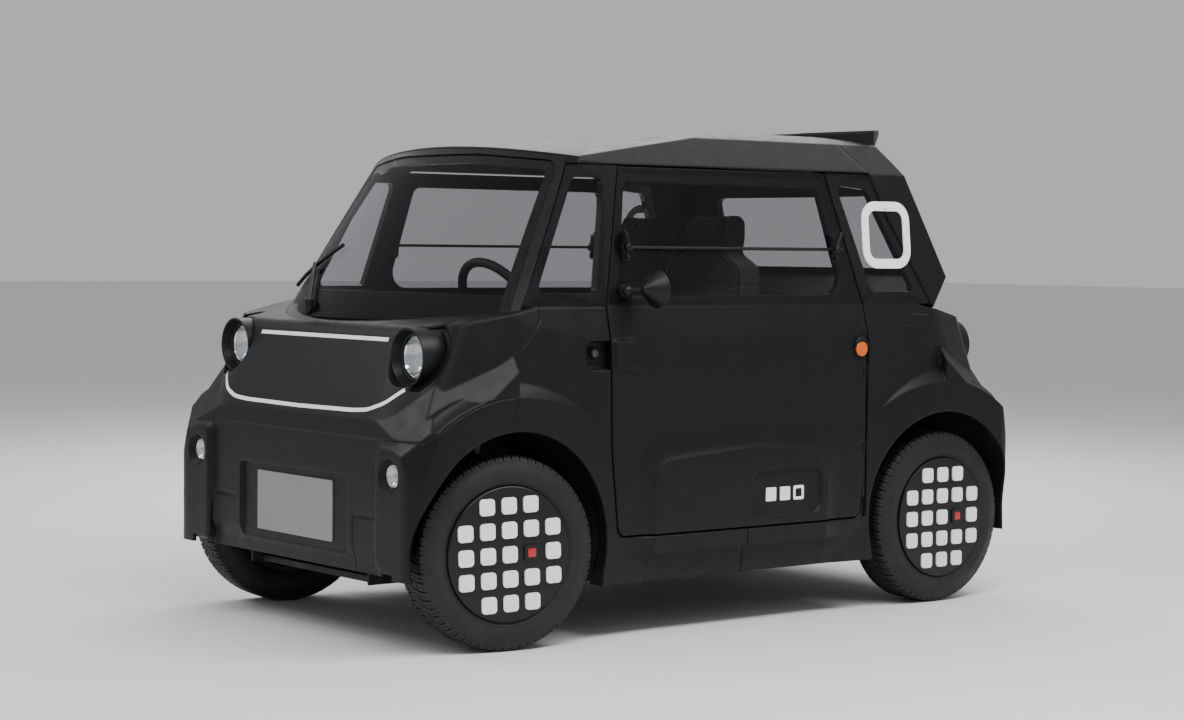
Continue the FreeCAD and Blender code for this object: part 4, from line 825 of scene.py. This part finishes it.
SEAT_Y = 0.272
SEAT_VOXEL = 0.0078
SEAT_SHRUNK = 0.009
CLOTH_FRAMES = 20
CLOTH_REACH = 0.014
BOLSTER, BOLSTER_WIDER, CUSHION_TOP = 0.135, 0.02, 0.6
SEAM_LEVELS = (0.62, 0.72, 0.82, 0.92)
NECK_SEAM = 1.03
SEAM_WIDTH = 0.006
BOLSTER_DEPTH, SEAM_DEPTH, NECK_DEPTH = 0.009, 0.007, 0.008
CROWN, CROWN_HALF, CROWN_TOP, CROWN_FACING = 0.010, 0.215, 1.0, 0.3
SHOULDER_Z, SHOULDER_RISE, SHOULDER_LOSS = 1.00, 0.10, 0.10
NECK_Z, NECK_RISE, NECK_LOSS = 1.085, 0.055, 0.42
CREST_Z, CREST_RISE, CREST_LOSS = 1.19, 0.085, 0.42
ROOM_BELOW, ROOM_ABOVE = 0.002, 0.004


def bake(obj):
    """The mesh as its modifiers leave it."""
    graph = bpy.context.evaluated_depsgraph_get()
    graph.update()
    mesh = bpy.data.meshes.new_from_object(obj.evaluated_get(graph), preserve_all_data_layers=True,
                                           depsgraph=graph)
    obj.modifiers.clear()
    obj.data = mesh


def points_of(mesh):
    return np.array([v.co for v in mesh.vertices])


def normals_of(mesh):
    return np.array([v.normal for v in mesh.vertices])


def set_points(mesh, points):
    mesh.vertices.foreach_set("co", points.astype(np.float32).ravel())
    mesh.update()


def seat_shell(side, sign):
    """One seat's solid as an even mesh."""
    made = bmesh.new()
    made.from_mesh(NODES["seat_pads"].data)
    bmesh.ops.delete(made, geom=[v for v in made.verts if v.co.y * sign < 0], context="VERTS")
    bmesh.ops.remove_doubles(made, verts=made.verts, dist=1e-5)
    bmesh.ops.recalc_face_normals(made, faces=made.faces)
    mesh = bpy.data.meshes.new("seat_" + side)
    made.to_mesh(mesh)
    made.free()
    obj = bpy.data.objects.new("seat_" + side, mesh)
    bpy.context.scene.collection.objects.link(obj)
    modifier = obj.modifiers.new("remesh", "REMESH")
    modifier.mode = "VOXEL"
    modifier.voxel_size = SEAT_VOXEL
    bake(obj)
    return obj


def blown_up(obj, points):
    """The points after the cover is blown up as cloth, none farther off than CLOTH_REACH."""
    cloth = obj.modifiers.new("cloth", "CLOTH")
    cloth.settings.quality = 4
    cloth.settings.use_pressure = True
    cloth.settings.uniform_pressure_force = 4
    cloth.settings.effector_weights.gravity = 0
    cloth.collision_settings.use_collision = False
    for number in range(1, CLOTH_FRAMES + 1):
        bpy.context.scene.frame_set(number)
    bake(obj)
    bpy.context.scene.frame_set(1)
    step = points_of(obj.data) - points
    far = np.linalg.norm(step, axis=1, keepdims=True)
    return points + step * np.minimum(1.0, CLOTH_REACH / np.maximum(far, 1e-9))


def channel(distance, depth):
    return depth * np.exp(-(distance / SEAM_WIDTH) ** 2)


def sewn(points, normals, middle):
    """The points with the seams drawn in and the panels between them crowned."""
    across, high = np.abs(points[:, 1] - middle), points[:, 2]
    bolster = BOLSTER + BOLSTER_WIDER * (high > CUSHION_TOP)
    groove = channel(across - bolster, BOLSTER_DEPTH)
    for level in SEAM_LEVELS:
        groove = np.maximum(groove, channel(high - level, SEAM_DEPTH) * (across < bolster))
    groove = np.maximum(groove, channel(high - NECK_SEAM, NECK_DEPTH))
    crowned = (normals[:, 0] > CROWN_FACING) * (high < CROWN_TOP)
    crown = CROWN * (1 - np.clip(across / CROWN_HALF, 0, 1) ** 2) * crowned
    return points + normals * (crown - groove)[:, None]


def narrowed(points, middle):
    """The points with sloping shoulders and a narrow, rounded headrest."""
    high = points[:, 2]
    shoulder = np.clip((high - SHOULDER_Z) / SHOULDER_RISE, 0, 1)
    neck = np.clip((high - NECK_Z) / NECK_RISE, 0, 1)
    crest = np.clip((high - CREST_Z) / CREST_RISE, 0, 1)
    narrow = (1 - SHOULDER_LOSS * shoulder ** 2) * (1 - NECK_LOSS * neck * neck * (3 - 2 * neck))
    narrow = narrow * np.sqrt(1 - CREST_LOSS * crest ** 2)
    points[:, 1] = middle + (points[:, 1] - middle) * narrow
    return points


def seat(side, sign):
    """A padded seat, blown up a little from its solid, with sewn channels."""
    obj = seat_shell(side, sign)
    rest = points_of(obj.data)
    points = rest - normals_of(obj.data) * SEAT_SHRUNK
    set_points(obj.data, points)
    points = blown_up(obj, points)
    set_points(obj.data, points)
    middle = SEAT_Y * sign
    points = narrowed(sewn(points, normals_of(obj.data), middle), middle)
    points = np.clip(points, rest.min(0) - ROOM_BELOW, rest.max(0) + ROOM_ABOVE)
    set_points(obj.data, points)
    obj.data.shade_smooth()
    obj.data.materials.clear()
    obj.data.materials.append(LOOKS["seat_cover"])
    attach(obj, "car")
    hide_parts("seat_pads")


# Floor and light

FLOOR_REACH = 60.0
FLOOR_Z = -0.0005
WORLD_COLOUR = (0.93, 0.95, 1.0, 1)
WORLD_STRENGTH = 0.55


def soft_lamp(name, at, width, height, power):
    """A lamp that shines straight down and isn't seen itself."""
    data = bpy.data.lights.new(name, "AREA")
    data.shape = "RECTANGLE"
    data.size, data.size_y = width, height
    data.energy = power
    lamp = bpy.data.objects.new(name, data)
    lamp.visible_camera = False
    down = Vector((0, 0, -1)).to_track_quat("-Z", "Y").to_matrix().to_4x4()
    lamp.matrix_world = Matrix.Translation(at) @ down
    bpy.context.scene.collection.objects.link(lamp)


def studio():
    """A plain pale floor under soft lamps."""
    corners = [(x * FLOOR_REACH, y * FLOOR_REACH, FLOOR_Z) for x, y in QUARTERS]
    mesh = bpy.data.meshes.new("floor")
    mesh.from_pydata(corners, [], [(0, 1, 2, 3)])
    floor = bpy.data.objects.new("floor", mesh)
    bpy.context.scene.collection.objects.link(floor)
    pale = finish_of("floor", (0.74, 0.74, 0.74), 0.8, grain=120, bump=0.03, vary=0.01, cloud=0.6)
    mesh.materials.append(pale)

    soft_lamp("behind", at=(-2.5, -3.2, 3.3), width=4.6, height=4.6, power=230)
    soft_lamp("left", at=(0.6, 2.35, 3.5), width=5.2, height=1.1, power=210)
    soft_lamp("corner", at=(3.6, -2.3, 3.3), width=2.0, height=2.0, power=90)
    world = bpy.data.worlds.new("studio")
    bpy.context.scene.world = world
    world.use_nodes = True
    shade = world.node_tree.nodes["Background"]
    shade.inputs["Color"].default_value = WORLD_COLOUR
    shade.inputs["Strength"].default_value = WORLD_STRENGTH


add_camera()
studio()
marks()
wheels()
lamps()
small_lamps()
bumper_corners()
mirrors()
small_fittings()
for which, way in SIDES.items():
    seat(which, way)
